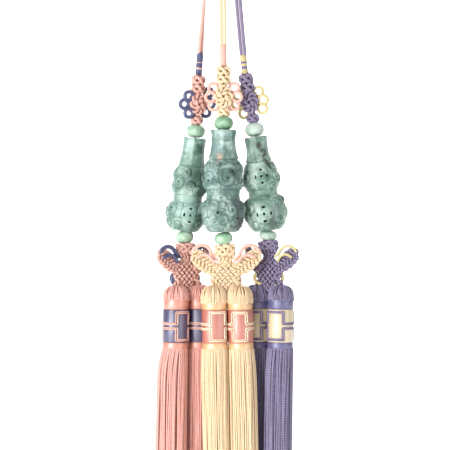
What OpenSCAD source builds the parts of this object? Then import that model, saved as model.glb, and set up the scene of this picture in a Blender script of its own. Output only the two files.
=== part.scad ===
// Three-strand norigae: a hanging dress ornament of knotted silk cord, carved jade gourds and tassels.
// Millimetres, +Z up, +Y away from the viewer. The origin is the crook of the hook that it hangs by.
// Heights are given as z below that crook, so they are negative.

/* [Clasp] */
// Width of the clasp plate
plate_w = 22; // [20:0.5:30]
// Thickness of the clasp plate
plate_t = 2.4; // [1.6:0.2:3]
// Thickness of the hook strip behind the plate
hook_t = 1.6; // [1.2:0.2:2]
// Width of the hook strip
hook_w = 10; // [8:0.5:14]
// Depth of the gap between plate and hook
hook_gap = 5; // [4.5:0.5:8]
// Radius of the round bar that the cords loop over
bar_r = 2.6; // [2:0.1:2.6]

/* [Cord] */
// Diameter of the braided silk cord
cord_d = 1.9; // [1.4:0.1:1.9]
// Diameter of the thread binding round the doubled cord
binding_d = 3.7; // [3.2:0.1:4]
// Diameter of the thread-wrapped loops
wrap_d = 1.5; // [1.2:0.1:1.5]
// Diameter of the thread through the beads
thread_d = 1.2; // [0.8:0.1:1.2]

/* [Knots] */
// Width of the small double-connection knots
small_knot_w = 6.7; // [6:0.1:7.2]
// Width of the collar knot above the butterfly knot
collar_w = 11; // [10:0.2:11]
// Radius of the flower knot's solid middle
flower_core_r = 2.7; // [2.4:0.1:2.8]
// Reach of the flower knot's petals
petal_reach = 6; // [5.4:0.1:6]
// Outer diameter of a wrapped ring
ring_d = 6.6; // [6:0.1:6.7]

/* [Beads] */
// Width of the round jade beads
bead_w = 9.8; // [8:0.2:10.4]
// Diameter of the drilled hole in beads and gourds
bore_d = 2; // [1.6:0.1:2.2]

/* [Gourds] */
// Thickness of the carved jade shell
shell_t = 2; // [1.6:0.1:2.4]
// Height of the raised carving
carving_h = 0.45; // [0.3:0.05:0.6]
// Diameter of the pierced holes
pierce_d = 1.3; // [1:0.1:1.6]
// Number of flat faces on the neck
neck_faces = 8; // [6:2:10]

/* [Tassels] */
// Diameter of a tassel head
head_d = 13.5; // [12.5:0.1:13.5]
// Height of the pleated dome
dome_h = 7.6; // [6:0.2:9]
// Height of the satin ring over the band
satin_h = 4.8; // [4:0.2:6]
// Height of the patterned band
band_h = 17.5; // [16:0.5:18]
// Thickness of the patterned band
band_t = 0.8; // [0.6:0.1:1]
// Height of the satin ring under the band
lower_satin_h = 4; // [3:0.2:5]
// Length of the fringe under the head
fringe_l = 139; // [80:1:150]
// Diameter of the fringe where it starts
fringe_top_d = 13.6; // [13:0.1:13.7]
// Diameter of the fringe at its end
fringe_end_d = 15.1; // [13.6:0.1:15.2]
// Number of locks round a fringe
lock_count = 12; // [9:1:16]

/* [Hidden] */
$fn = 48;
seat = 0.2; // clearance between two pieces that rest on each other
carving_root = 2.1; // depth that the raised carving is rooted below its top
cord_sides = 8;
cord_r = cord_d / 2;
wrap_r = wrap_d / 2;
border_r = 1.1; // radius of the cord round a wing
band_seat = 0.12; // clearance round a tassel's band in its recess

names = ["pink", "cream", "violet"];
pieces = [
    "cord", "binding", "crown_knots", "flower_knot", "flower_rings", "neck_knot",
    "upper_bead", "gourd", "lower_bead", "bead_thread", "collar_knot",
    "butterfly_knot", "butterfly_loops",
    "left_tassel", "left_band", "right_tassel", "right_band"
];

silk = ["#E7A595", "#F4E0B4", "#6E6590"];
wrap = ["#4E5A82", "#EDAE9F", "#E9D98C"];
satin = ["#F0B4A6", "#F8E7C4", "#6F70A0"];
jade = ["#8FB3A5", "#86A99B", "#93B8A8"];
bead_jade = ["#A7D8B6", "#9AD4AC", "#D3E6D6"];

// Heights of each strand's pieces. Columns: binding top, binding end, crown knots' end,
// flower centre, neck knot top, neck knot end, gourd top, gourd end, collar top, collar end,
// butterfly centre, tassel head top
BINDING_TOP = 0;
BINDING_END = 1;
CROWN_END = 2;
FLOWER = 3;
NECK_TOP = 4;
NECK_END = 5;
GOURD_TOP = 6;
GOURD_END = 7;
COLLAR_TOP = 8;
COLLAR_END = 9;
BUTTERFLY = 10;
HEAD_TOP = 11;
heights = [
    [-86.4, -98.8, -107.8, -114.3, -120.4, -125.0, -131.9, -182.3, -188.4, -194.4, -204.6, -211.8],
    [-82.6, -94.5, -102.2, -110.0, -116.7, -121.2, -128.2, -183.0, -188.9, -195.4, -205.4, -211.7],
    [-87.8, -98.0, -107.5, -113.2, -119.6, -124.0, -131.4, -182.1, -186.9, -192.8, -204.2, -211.5]
];

// The line that each strand hangs along. Columns: z, x, y
hang_lines = [
    [[-86, -11.6, 5], [-99, -12.7, 6.2], [-125, -13.4, 8.9], [-182.3, -20, 11.6],
     [-188.4, -19.8, 10.6], [-195, -19.6, 9.4], [-206, -19.2, 8.7], [-220, -19.2, 8.7]],
    [[-82, 0.6, 0], [-95, 0.8, 0], [-121.2, 0.9, 0], [-183, 0.5, 0],
     [-188.9, 1.2, 0], [-195.5, 1.8, 0], [-206, 2.1, 0], [-220, 2.1, 0]],
    [[-87, 11.2, 3.8], [-98, 12.4, 4.6], [-107.5, 13.9, 5.4], [-124, 16.6, 7.2],
     [-182.1, 24.2, 8.8], [-187, 24.7, 8.3], [-193, 25.1, 7.4],
     [-205.3, 25.1, 6.4], [-220, 25.1, 6.4]]
];

// Route of each doubled cord: up from the binding, over the clasp bar and down again. Columns: x, y, z
cord_routes = [
    [[-12.3, 4.3, -86.2], [-11.6, 3.3, -78], [-10.6, 2.3, -69], [-9.7, 1.5, -60],
     [-9, 0.9, -52], [-8.2, 0.3, -44], [-7.4, -0.4, -37], [-6.5, -1.6, -30], [-5.7, -3.1, -24],
     [-5, -4, -18], [-5, -2.8, -15.2], [-5, 0, -14], [-5, 2.8, -15.2], [-5, 4, -18],
     [-5.7, 3.5, -24], [-6.5, 2.7, -30], [-7.4, 2.2, -37], [-8.2, 2.4, -44], [-9, 2.9, -52],
     [-9.7, 3.5, -60], [-10.2, 4.3, -69], [-10.6, 5.1, -78], [-10.9, 5.7, -86.2]],
    [[-0.4, 0, -82.4], [-0.5, 0, -74], [-0.6, 0, -66], [-0.8, 0, -58],
     [-0.8, -0.4, -50], [-0.7, -0.9, -43], [-0.6, -1.5, -36], [-0.5, -2.4, -30], [-0.5, -3.4, -24],
     [-0.5, -4, -18], [-0.5, -2.8, -15.2], [-0.5, 0, -14], [-0.5, 2.8, -15.2], [-0.5, 4, -18],
     [-0.5, 3.4, -24], [-0.5, 2.4, -30], [-0.2, 1.5, -36], [0.4, 0.9, -43], [1, 0.4, -50],
     [1.2, 0, -58], [1.4, 0, -66], [1.5, 0, -74], [1.6, 0, -82.4]],
    [[10.3, 3.8, -87.4], [9.4, 3.2, -78], [8.6, 2.6, -69], [7.8, 2, -60],
     [7.2, 1.3, -52], [6.7, 0.5, -44], [6.2, -0.5, -37], [5.5, -1.7, -30], [4.8, -3.1, -24],
     [4, -4, -18], [4, -2.8, -15.2], [4, 0, -14], [4, 2.8, -15.2], [4, 4, -18],
     [4.9, 3.5, -24], [5.8, 2.6, -30], [7, 2, -37], [8.1, 2, -44], [9.1, 1.9, -52],
     [9.8, 2, -60], [10.6, 2.6, -69], [11.4, 3.2, -78], [12.3, 3.8, -87.4]]
];

// Outline of each gourd, heights down from its top. Columns: neck top radius, neck waist radius,
// neck foot radius, neck waist z, neck foot z, upper bulb radius, upper bulb z, belt radius,
// belt top z, belt end z, lower bulb radius, lower bulb z, foot radius
gourd_rows = [
    [6.2, 5.7, 7.2, -6, -15, 8.5, -25.3, 7.7, -31, -35, 10.3, -41, 6],
    [6.8, 6.2, 8, -6.2, -15.5, 10.6, -27.8, 9.2, -32, -37.4, 11.7, -43.6, 6.3],
    [5.8, 5.5, 6.8, -8, -13.4, 9.3, -23.7, 7.8, -28.8, -32, 11.2, -41.2, 6]
];

// Carved scrolls on each gourd, repeated on its back. Columns: angle to the right of the front, z, radius
scrolls = [
    [[-13, -19, 2.6], [-38, -24, 2.9], [34, -28, 2.4], [62, -21, 2.6], [-48, -38.5, 3], [-62, -46, 2.6]],
    [[12, -25.5, 4], [-22, -19.5, 2.2], [-50, -25.5, 2.8], [58, -25, 2.8],
     [24, -42.5, 3.2], [-30, -42, 2.9], [0, -48, 2.2], [62, -44, 2.4], [-66, -44, 2.4]],
    [[58, -22, 2.6], [-58, -22, 2.6], [48, -36, 2.4], [-52, -38, 3], [42, -45.5, 2.4], [-44, -47, 2.2]]
];

// Pierced medallions on each gourd, repeated on its back. Columns: angle, z, radius, pitch of the holes
medallions = [
    [[15, -41.4, 4.8, 3.1]],
    [],
    [[0, -21.4, 4.6, 3.1], [-6, -41.6, 5, 3.3]]
];

// Turns about the upright axis. Columns: flower turn, roll of the petals, lattice turn, left wing turn,
// right wing turn
turns = [
    [24, 10, 26, 12, 34],
    [0, 0, 0, 0, 0],
    [-12, 8, -30, -26, -4]
];

// Depth of the wrapped loops beside the tassel cords. Columns: left, right
loop_depths = [[1.9, 1.9], [1.9, 1.9], [-1.9, 1.9]];

// Tassels of each strand. Columns: x and y of the head's top, lean to the right, lean to the back in degrees
tassels = [
    [[-24.6, 5.5, -1, 0], [-12.4, 11.8, 0, 1]],
    [[-4.3, 0, 0.9, 0], [9.3, 0, 1.6, 0]],
    [[19.3, 10.8, 0.5, 1.5], [31.6, 2, -0.8, 0]]
];

// Centres of the rings round each flower knot. Columns: x, y, z
ring_rows = [
    [[-7.3, -0.8, -0.2], [-5.6, 0.8, 4.2], [-5.6, 0.8, -4.5],
     [7.2, -0.8, 0.2], [6.6, 0.8, 6.2], [5.6, 0.8, -4.4]],
    [[-7.1, -0.8, -0.2], [-5.5, 0.8, 4.8], [-5.4, 0.8, -4.7],
     [7.1, -0.8, -0.2], [5.6, 0.8, 4.8], [5.4, 0.8, -4.7]],
    [[-7.2, -0.8, 0], [-6, 0.8, 4.3], [-5.9, 0.8, -5.2],
     [7.4, -0.8, 0], [6, 0.8, 4.3], [6, 0.8, -4.6]]
];

// One wing of the butterfly knot, from its root under the lattice round to its root above. Columns: x, z
wing_outline = [
    [7, 0.6], [9.4, 1.6], [12.6, 3.6], [15.8, 6.6], [17.6, 9.8], [17.4, 12], [15.4, 12.8],
    [12.4, 12], [9.6, 10], [7.4, 7.2], [6, 4.2]
];
outer_arc = [[5, 8.6], [6.8, 10], [7.6, 12.8], [9.2, 15], [11.6, 16.2], [14.4, 16], [17, 14.9], [18.4, 14]];
inner_arc = [[6.8, 7], [8.2, 9.2], [10.4, 10.4], [13, 10.4], [15.2, 9.2]];
lower_arc = [[7.7, -1.2], [8.4, -2.6], [8.1, -4.2], [6.8, -5.3], [5, -5.2]];
wing_t = 1.8; // thickness of the weave inside the wing's border cord
lattice_w = 7.5; // half-width of the lattice
lattice_h = 8.8; // half-height of the lattice
lattice_rods = 5;

// Position and lean on a hang line
function at_x(s, z) = lookup(z, [for (p = hang_lines[s]) [p[0], p[1]]]);
function at_y(s, z) = lookup(z, [for (p = hang_lines[s]) [p[0], p[2]]]);
function lean_x(s, z) = atan2(at_x(s, z - 1) - at_x(s, z + 1), 2);
function lean_y(s, z) = atan2(at_y(s, z - 1) - at_y(s, z + 1), 2);

// Puts its children at height z on the line, leaning as the line does at lean_z
module hung(s, z, lean_z) {
    translate([at_x(s, z), at_y(s, z), z])
        rotate([lean_y(s, lean_z), -lean_x(s, lean_z), 0])
            children();
}

// Rings of a tube along a path: each ring lies square to the path
function unit(v) = v / norm(v);
function step_at(path, i) =
    unit(path[min(i + 1, len(path) - 1)] - path[max(i - 1, 0)]);
function side_of(t) = unit(cross(t, abs(t[1]) > 0.9 ? [1, 0, 0] : [0, 1, 0]));
function ring_at(path, i, r, sides) =
    let (t = step_at(path, i), u = side_of(t), v = cross(t, u))
    [for (k = [0:sides - 1]) path[i] + r * (cos(360 * k / sides) * u + sin(360 * k / sides) * v)];
module tube(path, r, sides = cord_sides) {
    n = len(path);
    points = [for (i = [0:n - 1]) each ring_at(path, i, r, sides)];
    walls = [for (i = [0:n - 2]) for (k = [0:sides - 1])
        [i * sides + k, (i + 1) * sides + k, (i + 1) * sides + (k + 1) % sides, i * sides + (k + 1) % sides]];
    start_cap = [[for (k = [0:sides - 1]) k]];
    end_cap = [[for (k = [sides - 1:-1:0]) (n - 1) * sides + k]];
    polyhedron(points, concat(walls, start_cap, end_cap), convexity = 6);
}

// A stretch of cord with round ends, centred, along Z
module round_rod(length, r) {
    rotate_extrude() {
        translate([0, -length / 2 + r])
            square([r, length - 2 * r]);
        for (end = [-1, 1])
            intersection() {
                translate([0, end * (length / 2 - r)])
                    circle(r);
                translate([0, -length / 2])
                    square([r, length]);
            }
    }
}

// A double-connection knot, its top at z = 0: slanting strands in front and behind, loops at the sides
module connection_knot(w, h) {
    rod_r = cord_r + 0.12;
    span = w / 2 - rod_r;
    count = round(w / 3.4);
    translate([0, 0, -h]) {
        cylinder(h = h, r = min(2.1, h / 2));
        translate([0, 0, h / 2]) {
            for (side = [-1, 1]) {
                translate([side * span, 0, 0])
                    round_rod(h * 0.86, rod_r);
                for (i = [0:count - 1])
                    translate([(i - (count - 1) / 2) * span * 2 / (count + 1), side * 1.35, 0])
                        rotate([0, side * 38, 0])
                            round_rod(h * 1.06, rod_r);
            }
            cube([span * 2, 2.2, h * 0.6], center = true);
        }
    }
}

// The clasp: a plate in front, a hook strip behind it and a round bar between two arms below
module top_clasp() {
    front_y = -hook_gap / 2 - plate_t;
    plate_l = 11;
    strip_l = 10;
    bar_z = -18;
    bar_l = 16;
    arm_w = (plate_w - bar_l) / 2;
    arm_end = 3.5;
    color("#C9B27A") {
        translate([-plate_w / 2, front_y, -plate_l])
            cube([plate_w, plate_t, plate_l + hook_t]);
        translate([-hook_w / 2, front_y, 0])
            cube([hook_w, plate_t + hook_gap + hook_t, hook_t]);
        translate([-hook_w / 2, hook_gap / 2, -strip_l])
            cube([hook_w, hook_t, strip_l + hook_t]);
        for (side = [-1, 1])
            translate([side * (bar_l + arm_w) / 2 - arm_w / 2, front_y, bar_z - arm_end])
                cube([arm_w, arm_end - front_y, arm_end - bar_z - plate_l + 1]);
        translate([0, 0, bar_z])
            rotate([0, 90, 0])
                cylinder(h = bar_l + 2, r = bar_r, center = true);
    }
}

// The doubled cord over the clasp bar
module strand_cord(s) {
    color(silk[s])
        tube(cord_routes[s], cord_r);
}

// Thread wound close round the doubled cord
module strand_binding(s) {
    h = heights[s][BINDING_TOP] - heights[s][BINDING_END] - seat;
    edge = 0.4;
    color(wrap[s])
        hung(s, heights[s][BINDING_TOP], (heights[s][BINDING_TOP] + heights[s][BINDING_END]) / 2)
            rotate_extrude()
                polygon([[0, 0], [binding_d / 2 - edge, 0], [binding_d / 2, -edge],
                    [binding_d / 2, edge - h], [binding_d / 2 - edge, -h], [0, -h]]);
}

// Two double-connection knots, one over the other
module strand_crown_knots(s) {
    h = (heights[s][BINDING_END] - heights[s][CROWN_END]) / 2;
    color(silk[s])
        hung(s, heights[s][BINDING_END], heights[s][BINDING_END] - h)
            rotate([0, 0, turns[s][0]])
                for (i = [0, 1])
                    translate([0, 0, -i * (h - seat)])
                        connection_knot(small_knot_w, h);
}

// Short doubled stretch that joins the flower to the knot above or below it
module flower_stem(reach) {
    for (side = [-1, 1])
        translate([side * cord_d * 0.52, 0, reach / 2])
            round_rod(abs(reach), cord_r);
}

// The flower knot: a pinwheel of over-and-under petals, in front and behind
module strand_flower_knot(s) {
    petal_count = 8;
    rod_r = 1;
    petal_l = petal_reach;
    layer_y = 2.7;
    up = heights[s][CROWN_END] - heights[s][FLOWER] - seat;
    down = heights[s][FLOWER] - heights[s][NECK_TOP] - seat;
    color(silk[s])
        hung(s, heights[s][FLOWER], heights[s][FLOWER])
            rotate([0, 0, turns[s][0]]) {
                rotate([0, -turns[s][1], 0]) {
                    rotate([90, 0, 0])
                        cylinder(h = 2 * layer_y - 0.8, r = flower_core_r, center = true);
                    for (side = [-1, 1])
                        for (i = [0:petal_count - 1])
                            translate([0, side * layer_y, 0])
                                rotate([0, i * 360 / petal_count + side * 9, 0])
                                    translate([0.7, 0, petal_reach / 2])
                                        rotate([0, side * 14, 0])
                                            round_rod(petal_l - 0.3, rod_r);
                }
                flower_stem(up);
                flower_stem(-down);
            }
}

// Six rings of cord wrapped with fine thread, held between the flower's petals
module strand_flower_rings(s) {
    color(wrap[s])
        hung(s, heights[s][FLOWER], heights[s][FLOWER])
            rotate([0, 0, turns[s][0]])
                for (p = ring_rows[s])
                    translate(p)
                        rotate([90, 0, 0])
                            rotate_extrude()
                                translate([(ring_d - wrap_d) / 2, 0])
                                    circle(wrap_r);
}

module strand_neck_knot(s) {
    color(silk[s])
        hung(s, heights[s][NECK_TOP], (heights[s][NECK_TOP] + heights[s][NECK_END]) / 2)
            rotate([0, 0, turns[s][0]])
                connection_knot(small_knot_w - 0.3, heights[s][NECK_TOP] - heights[s][NECK_END] - seat);
}

// A drilled, flattened bead that fills the height from its top at z = 0
module bead(h) {
    bands = 12;
    difference() {
        translate([0, 0, -h / 2])
            rotate_extrude()
                polygon(concat([[0, -h / 2]], [for (i = [0:bands])
                    let (a = -70 + 140 * i / bands) [bead_w / 2 * pow(cos(a), 0.8), h / 2 * sin(a) / sin(70)]],
                    [[0, h / 2]]));
        translate([0, 0, -h - 1])
            cylinder(h = h + 2, r = bore_d / 2);
    }
}

module strand_upper_bead(s) {
    h = heights[s][NECK_END] - heights[s][GOURD_TOP];
    color(bead_jade[s])
        hung(s, heights[s][NECK_END] - seat, heights[s][GOURD_TOP])
            bead(h - 2 * seat);
}

module strand_lower_bead(s) {
    h = heights[s][GOURD_END] - heights[s][COLLAR_TOP];
    color(bead_jade[s])
        hung(s, heights[s][GOURD_END] - seat, heights[s][GOURD_END] - h / 2)
            bead(h - 2 * seat);
}

// Quarter of an ellipse between two outline points; the tangent is upright at the wide one
function swell(r0, z0, r1, z1, n) =
    [for (i = [0:n]) [r0 + (r1 - r0) * sin(90 * i / n), z1 + (z0 - z1) * cos(90 * i / n)]];
function shrink(r1, z1, r2, z2, n) =
    [for (i = [0:n]) [r2 + (r1 - r2) * cos(90 * i / n), z1 + (z2 - z1) * sin(90 * i / n)]];

// Outline of the two bulbs and the belt between them, drawn in by the amount less
function bulbs(g, h, less) = concat(
    [[0, g[4] - less]],
    swell(g[2] - less, g[4] - less, g[5] - less, g[6], 4),
    shrink(g[5] - less, g[6], g[7] - less, g[8], 2),
    [[g[7] - less, g[9]]],
    swell(g[7] - less, g[9], g[10] - less, g[11], 3),
    shrink(g[10] - less, g[11], g[12] - less, -h + less, 4),
    [[0, -h + less]]
);

// One flat-sided pair of faces of the neck
module neck_slab(g) {
    linear_extrude(4 * g[2], center = true)
        polygon([[-g[0], 0], [g[0], 0], [g[1], g[3] * 0.6], [g[1], g[3] * 1.3], [g[2], g[4] + 0.7],
            [g[2] * 0.9, g[4]], [g[2] * 0.9, g[4] - 1.4], [-g[2] * 0.9, g[4] - 1.4],
            [-g[2] * 0.9, g[4]], [-g[2], g[4] + 0.7], [-g[1], g[3] * 1.3], [-g[1], g[3] * 0.6]]);
}

module gourd_neck(g) {
    intersection_for(i = [0:neck_faces / 2 - 1])
        rotate([90, 0, (i + 0.5) * 360 / neck_faces])
            neck_slab(g);
}

// Points its children outwards from the gourd's axis
module outwards(angle, z) {
    translate([0, 0, z])
        rotate([90, 0, angle])
            children();
}

function radius_at(g, h, z) = lookup(z, [for (p = bulbs(g, h, 0)) [p[1], p[0]]]);

// Outline of a raised rim or boss whose top follows a ball of radius ball_r
function raised(r_in, r_out, ball_r) = [
    [r_in, ball_r - carving_root], [r_out, ball_r - carving_root],
    [r_out, sqrt(ball_r * ball_r - r_out * r_out)], [r_in, sqrt(ball_r * ball_r - r_in * r_in)]
];

module scroll(r, ball_r) {
    rim = 0.8;
    rotate_extrude()
        polygon(raised(r - rim, r, ball_r));
    rotate_extrude()
        polygon(raised(0, r * 0.42, ball_r));
}

module medallion(r, ball_r) {
    rotate_extrude()
        polygon(raised(0, r, ball_r));
}

module hole_pattern(pitch) {
    for (p = [[0, 0], [1, 0], [-1, 0], [0, 1.15], [0, -1.15]])
        translate([p[0] * pitch, p[1] * pitch, 0])
            cylinder(h = 20, r = pierce_d / 2);
}

// The gourd: a hollow shell with a flat-sided neck, raised carving and pierced medallions
module strand_gourd(s) {
    g = gourd_rows[s];
    top = heights[s][GOURD_TOP];
    end = heights[s][GOURD_END];
    lean = norm([at_x(s, end) - at_x(s, top), at_y(s, end) - at_y(s, top)]);
    h = norm([lean, top - end]) - seat;
    color(jade[s])
        hung(s, top, (top + end) / 2)
            difference() {
                union() {
                    rotate_extrude()
                        polygon(bulbs(g, h, carving_h));
                    gourd_neck(g);
                    for (back = [0, 180]) {
                        for (p = scrolls[s])
                            outwards(p[0] + back, p[1])
                                scroll(p[2], radius_at(g, h, p[1]));
                        for (p = medallions[s])
                            outwards(p[0] + back, p[1])
                                medallion(p[2], radius_at(g, h, p[1]));
                    }
                }
                rotate_extrude()
                    polygon(bulbs(g, h, shell_t + carving_h));
                translate([0, 0, -h - 1])
                    cylinder(h = h + 2, r = bore_d / 2);
                for (back = [0, 180])
                    for (p = medallions[s])
                        outwards(p[0] + back, p[1])
                            hole_pattern(p[3]);
            }
}

// The thread from the neck knot through bead, gourd and bead to the collar knot
module strand_bead_thread(s) {
    stops = [heights[s][NECK_END] - seat, heights[s][GOURD_END], heights[s][COLLAR_TOP] + seat];
    lap = 0.4; // the upper stretch runs on below the lower one's start, and the lower one above it
    color(silk[s])
        for (i = [0, 1])
            hung(s, stops[i], (stops[i] + stops[i + 1]) / 2) {
                length = norm([at_x(s, stops[i + 1]) - at_x(s, stops[i]),
                    at_y(s, stops[i + 1]) - at_y(s, stops[i]), stops[i + 1] - stops[i]]);
                translate([0, 0, -length - (1 - i) * lap])
                    cylinder(h = length + lap, r = thread_d / 2);
            }
}

module strand_collar_knot(s) {
    color(silk[s])
        hung(s, heights[s][COLLAR_TOP], (heights[s][COLLAR_TOP] + heights[s][COLLAR_END]) / 2)
            rotate([0, 0, turns[s][2] / 2])
                connection_knot(collar_w, heights[s][COLLAR_TOP] - heights[s][COLLAR_END]);
}

// Puts its children in the butterfly knot's own frame, centred on the lattice
module in_butterfly(s) {
    translate([at_x(s, heights[s][BUTTERFLY]), at_y(s, heights[s][BUTTERFLY]), heights[s][BUTTERFLY]])
        rotate([0, 0, turns[s][2]])
            children();
}

// Turns a wing back or forward about its root; side is -1 for the left wing, 1 for the right
module on_wing(s, side) {
    root_x = 6.4;
    mirror([side < 0 ? 1 : 0, 0, 0])
        translate([root_x, 0, 0])
            rotate([0, 0, side * turns[s][side < 0 ? 3 : 4]])
                translate([-root_x, 0, 0])
                    children();
}

// The woven lattice: slanting cords laid across each other in two layers
module lattice() {
    slope = atan2(lattice_h, lattice_w);
    pitch = 2.2;
    rod_r = 1.03;
    rod_l = 11.6;
    layer_y = 0.8;
    for (side = [-1, 1])
        for (i = [0:lattice_rods - 1])
            translate([0, side * layer_y, 0])
                rotate([0, side * (90 - slope), 0])
                    translate([(i - (lattice_rods - 1) / 2) * pitch, 0, 0])
                        round_rod(rod_l, rod_r);
}

// The butterfly knot: lattice, two woven wings, the doubled cord above and the two cords to the tassels
module strand_butterfly_knot(s) {
    centre = [at_x(s, heights[s][BUTTERFLY]), at_y(s, heights[s][BUTTERFLY]), heights[s][BUTTERFLY]];
    stem_l = heights[s][COLLAR_END] - heights[s][BUTTERFLY] - seat;
    exit_x = 4.6;
    exit_z = -2.6;
    color(silk[s]) {
        in_butterfly(s) {
            lattice();
            for (side = [-1, 1]) {
                on_wing(s, side) {
                    rotate([90, 0, 0])
                        linear_extrude(wing_t, center = true)
                            polygon(wing_outline);
                    tube(flat_path(wing_outline, 0), border_r);
                }
                for (i = [0.52, 1.58])
                    translate([side * cord_d * i, 0, stem_l / 2 + 2])
                        round_rod(stem_l - 4, cord_r);
            }
        }
        for (side = [-1, 1]) {
            t = tassels[s][side < 0 ? 0 : 1];
            from = centre + [side * exit_x * cos(turns[s][2]), side * exit_x * sin(turns[s][2]), exit_z];
            to = [t[0], t[1], heights[s][HEAD_TOP] + seat + cord_r];
            way = to - from;
            translate((from + to) / 2)
                rotate([0, acos(way[2] / norm(way)), atan2(way[1], way[0])])
                    round_rod(norm(way) + 2 * cord_r, cord_r);
        }
    }
}

function flat_path(rows, y) = [for (p = rows) [p[0], y, p[1]]];

// Wrapped arcs over and on the wings, and the wrapped loops beside the tassel cords
module strand_butterfly_loops(s) {
    color(wrap[s])
        in_butterfly(s)
            for (side = [-1, 1]) {
                on_wing(s, side) {
                    tube(flat_path(outer_arc, 0), wrap_r);
                    tube(flat_path(inner_arc, -border_r - wrap_r - seat), wrap_r);
                }
                mirror([side < 0 ? 1 : 0, 0, 0])
                    tube(flat_path(lower_arc, loop_depths[s][side < 0 ? 0 : 1]), wrap_r);
            }
}

// Puts its children at a tassel's head top, leaning as the tassel does
module in_tassel(s, i) {
    t = tassels[s][i];
    translate([t[0], t[1], heights[s][HEAD_TOP]])
        rotate([t[3], -t[2], 0])
            children();
}

// Outline of a fringe across: a core with locks round it
module fringe_section(d) {
    lock_r = d * 0.15;
    circle(d / 2 - lock_r);
    for (i = [0:lock_count - 1])
        rotate(i * 360 / lock_count)
            translate([d / 2 - lock_r, 0])
                circle(lock_r, $fn = 14);
}

// A tassel: pleated dome, satin-wound head with a recess for the band, and the fringe in locks
module tassel(s, i) {
    r = head_d / 2;
    shoulder = 6;
    body_h = dome_h + satin_h;
    core_r = r - band_t - band_seat;
    foot_z = -body_h - band_h - lower_satin_h;
    crown_r = 1.6;
    color(satin[s])
        in_tassel(s, i) {
            rotate_extrude()
                polygon(concat(
                    [[0, 0]],
                    [for (k = [0:shoulder]) let (a = 90 * k / shoulder)
                        [crown_r + (r - crown_r) * sin(a), -dome_h * 0.75 * (1 - cos(a))]],
                    [[r, -body_h + band_seat], [core_r, -body_h + band_seat],
                     [core_r, -body_h - band_h - band_seat], [r, -body_h - band_h - band_seat],
                     [r, foot_z], [0, foot_z]]));
            translate([0, 0, foot_z])
                rotate([180, 0, 0])
                    linear_extrude(fringe_l, scale = fringe_end_d / fringe_top_d, slices = 1)
                        fringe_section(fringe_top_d);
        }
}

// The patterned band round a tassel head
module tassel_band(s, i) {
    color(wrap[s])
        in_tassel(s, i)
            translate([0, 0, -dome_h - satin_h - band_h])
                difference() {
                    cylinder(h = band_h, r = head_d / 2);
                    translate([0, 0, -1])
                        cylinder(h = band_h + 2, r = head_d / 2 - band_t);
                }
}

top_clasp();
for (s = [0:2]) {
    strand_cord(s);
    strand_binding(s);
    strand_crown_knots(s);
    strand_flower_knot(s);
    strand_flower_rings(s);
    strand_neck_knot(s);
    strand_upper_bead(s);
    strand_gourd(s);
    strand_lower_bead(s);
    strand_bead_thread(s);
    strand_collar_knot(s);
    strand_butterfly_knot(s);
    strand_butterfly_loops(s);
    tassel(s, 0);
    tassel_band(s, 0);
    tassel(s, 1);
    tassel_band(s, 1);
}
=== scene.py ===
import math
import random

import bmesh
import bpy
from mathutils import Matrix, Vector, noise
from mathutils.bvhtree import BVHTree


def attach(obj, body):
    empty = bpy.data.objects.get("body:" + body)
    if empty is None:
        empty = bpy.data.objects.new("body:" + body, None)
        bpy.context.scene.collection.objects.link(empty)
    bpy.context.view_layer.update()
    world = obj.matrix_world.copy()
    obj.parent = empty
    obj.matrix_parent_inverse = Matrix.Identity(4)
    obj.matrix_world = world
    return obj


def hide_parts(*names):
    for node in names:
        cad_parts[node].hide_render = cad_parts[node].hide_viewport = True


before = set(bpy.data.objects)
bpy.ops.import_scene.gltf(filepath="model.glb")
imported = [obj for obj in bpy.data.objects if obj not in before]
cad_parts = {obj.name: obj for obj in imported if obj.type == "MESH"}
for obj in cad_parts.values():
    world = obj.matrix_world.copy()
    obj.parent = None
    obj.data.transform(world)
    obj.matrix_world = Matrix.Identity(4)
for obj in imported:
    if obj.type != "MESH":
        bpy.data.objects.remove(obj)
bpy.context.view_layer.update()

# Camera
# A long lens looks straight at the hanging ornament, level with its gourds. The frame cuts off the
# clasp above and the fringe ends below, as the picture does.
MM = 0.001
scene = bpy.context.scene
view_centre = Vector((1.6, 0, -178.9)) * MM
frame_width = 240.3 * MM
lens = 135
sensor = 36
eye = bpy.data.cameras.new("camera")
eye.lens = lens
eye.sensor_width = sensor
eye.clip_start = 0.05
camera = bpy.data.objects.new("camera", eye)
camera.location = view_centre + Vector((0, -frame_width * lens / sensor, 0))
camera.rotation_euler = (math.radians(90), 0, 0)
scene.collection.objects.link(camera)
scene.camera = camera

# Main cords
# Each strand hangs by one braided silk cord, about 2 mm thick, laid double over the clasp's bar.
# Both runs go down into the thread binding. The silk is plaited from eight fine ends.
STRANDS = ("pink", "cream", "violet")


def linear(hex_code):
    """An sRGB hex colour as the linear colour that a shader takes."""
    parts = [int(hex_code[i:i + 2], 16) / 255 for i in (0, 2, 4)]
    return [c / 12.92 if c <= 0.04045 else ((c + 0.055) / 1.055) ** 2.4 for c in parts] + [1]


def feed(tree, node, inputs):
    """Gives each input a value, a socket, or another node's first output."""
    for key, value in inputs.items():
        if isinstance(value, bpy.types.Node):
            value = value.outputs[0]
        if isinstance(value, bpy.types.NodeSocket):
            tree.links.new(value, node.inputs[key])
        else:
            node.inputs[key].default_value = value


def put(tree, kind, inputs=None, **settings):
    """Adds a shader node with its settings, and feeds its inputs."""
    made = tree.nodes.new("ShaderNode" + kind)
    for key, value in settings.items():
        setattr(made, key, value)
    feed(tree, made, inputs or {})
    return made


def finish_named(name, surface):
    """A material with its shader's own sockets set. Returns it, its node tree and its shader."""
    material = bpy.data.materials.new(name)
    material.use_nodes = True
    shader = material.node_tree.nodes["Principled BSDF"]
    feed(material.node_tree, shader, surface)
    return material, material.node_tree, shader


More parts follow.
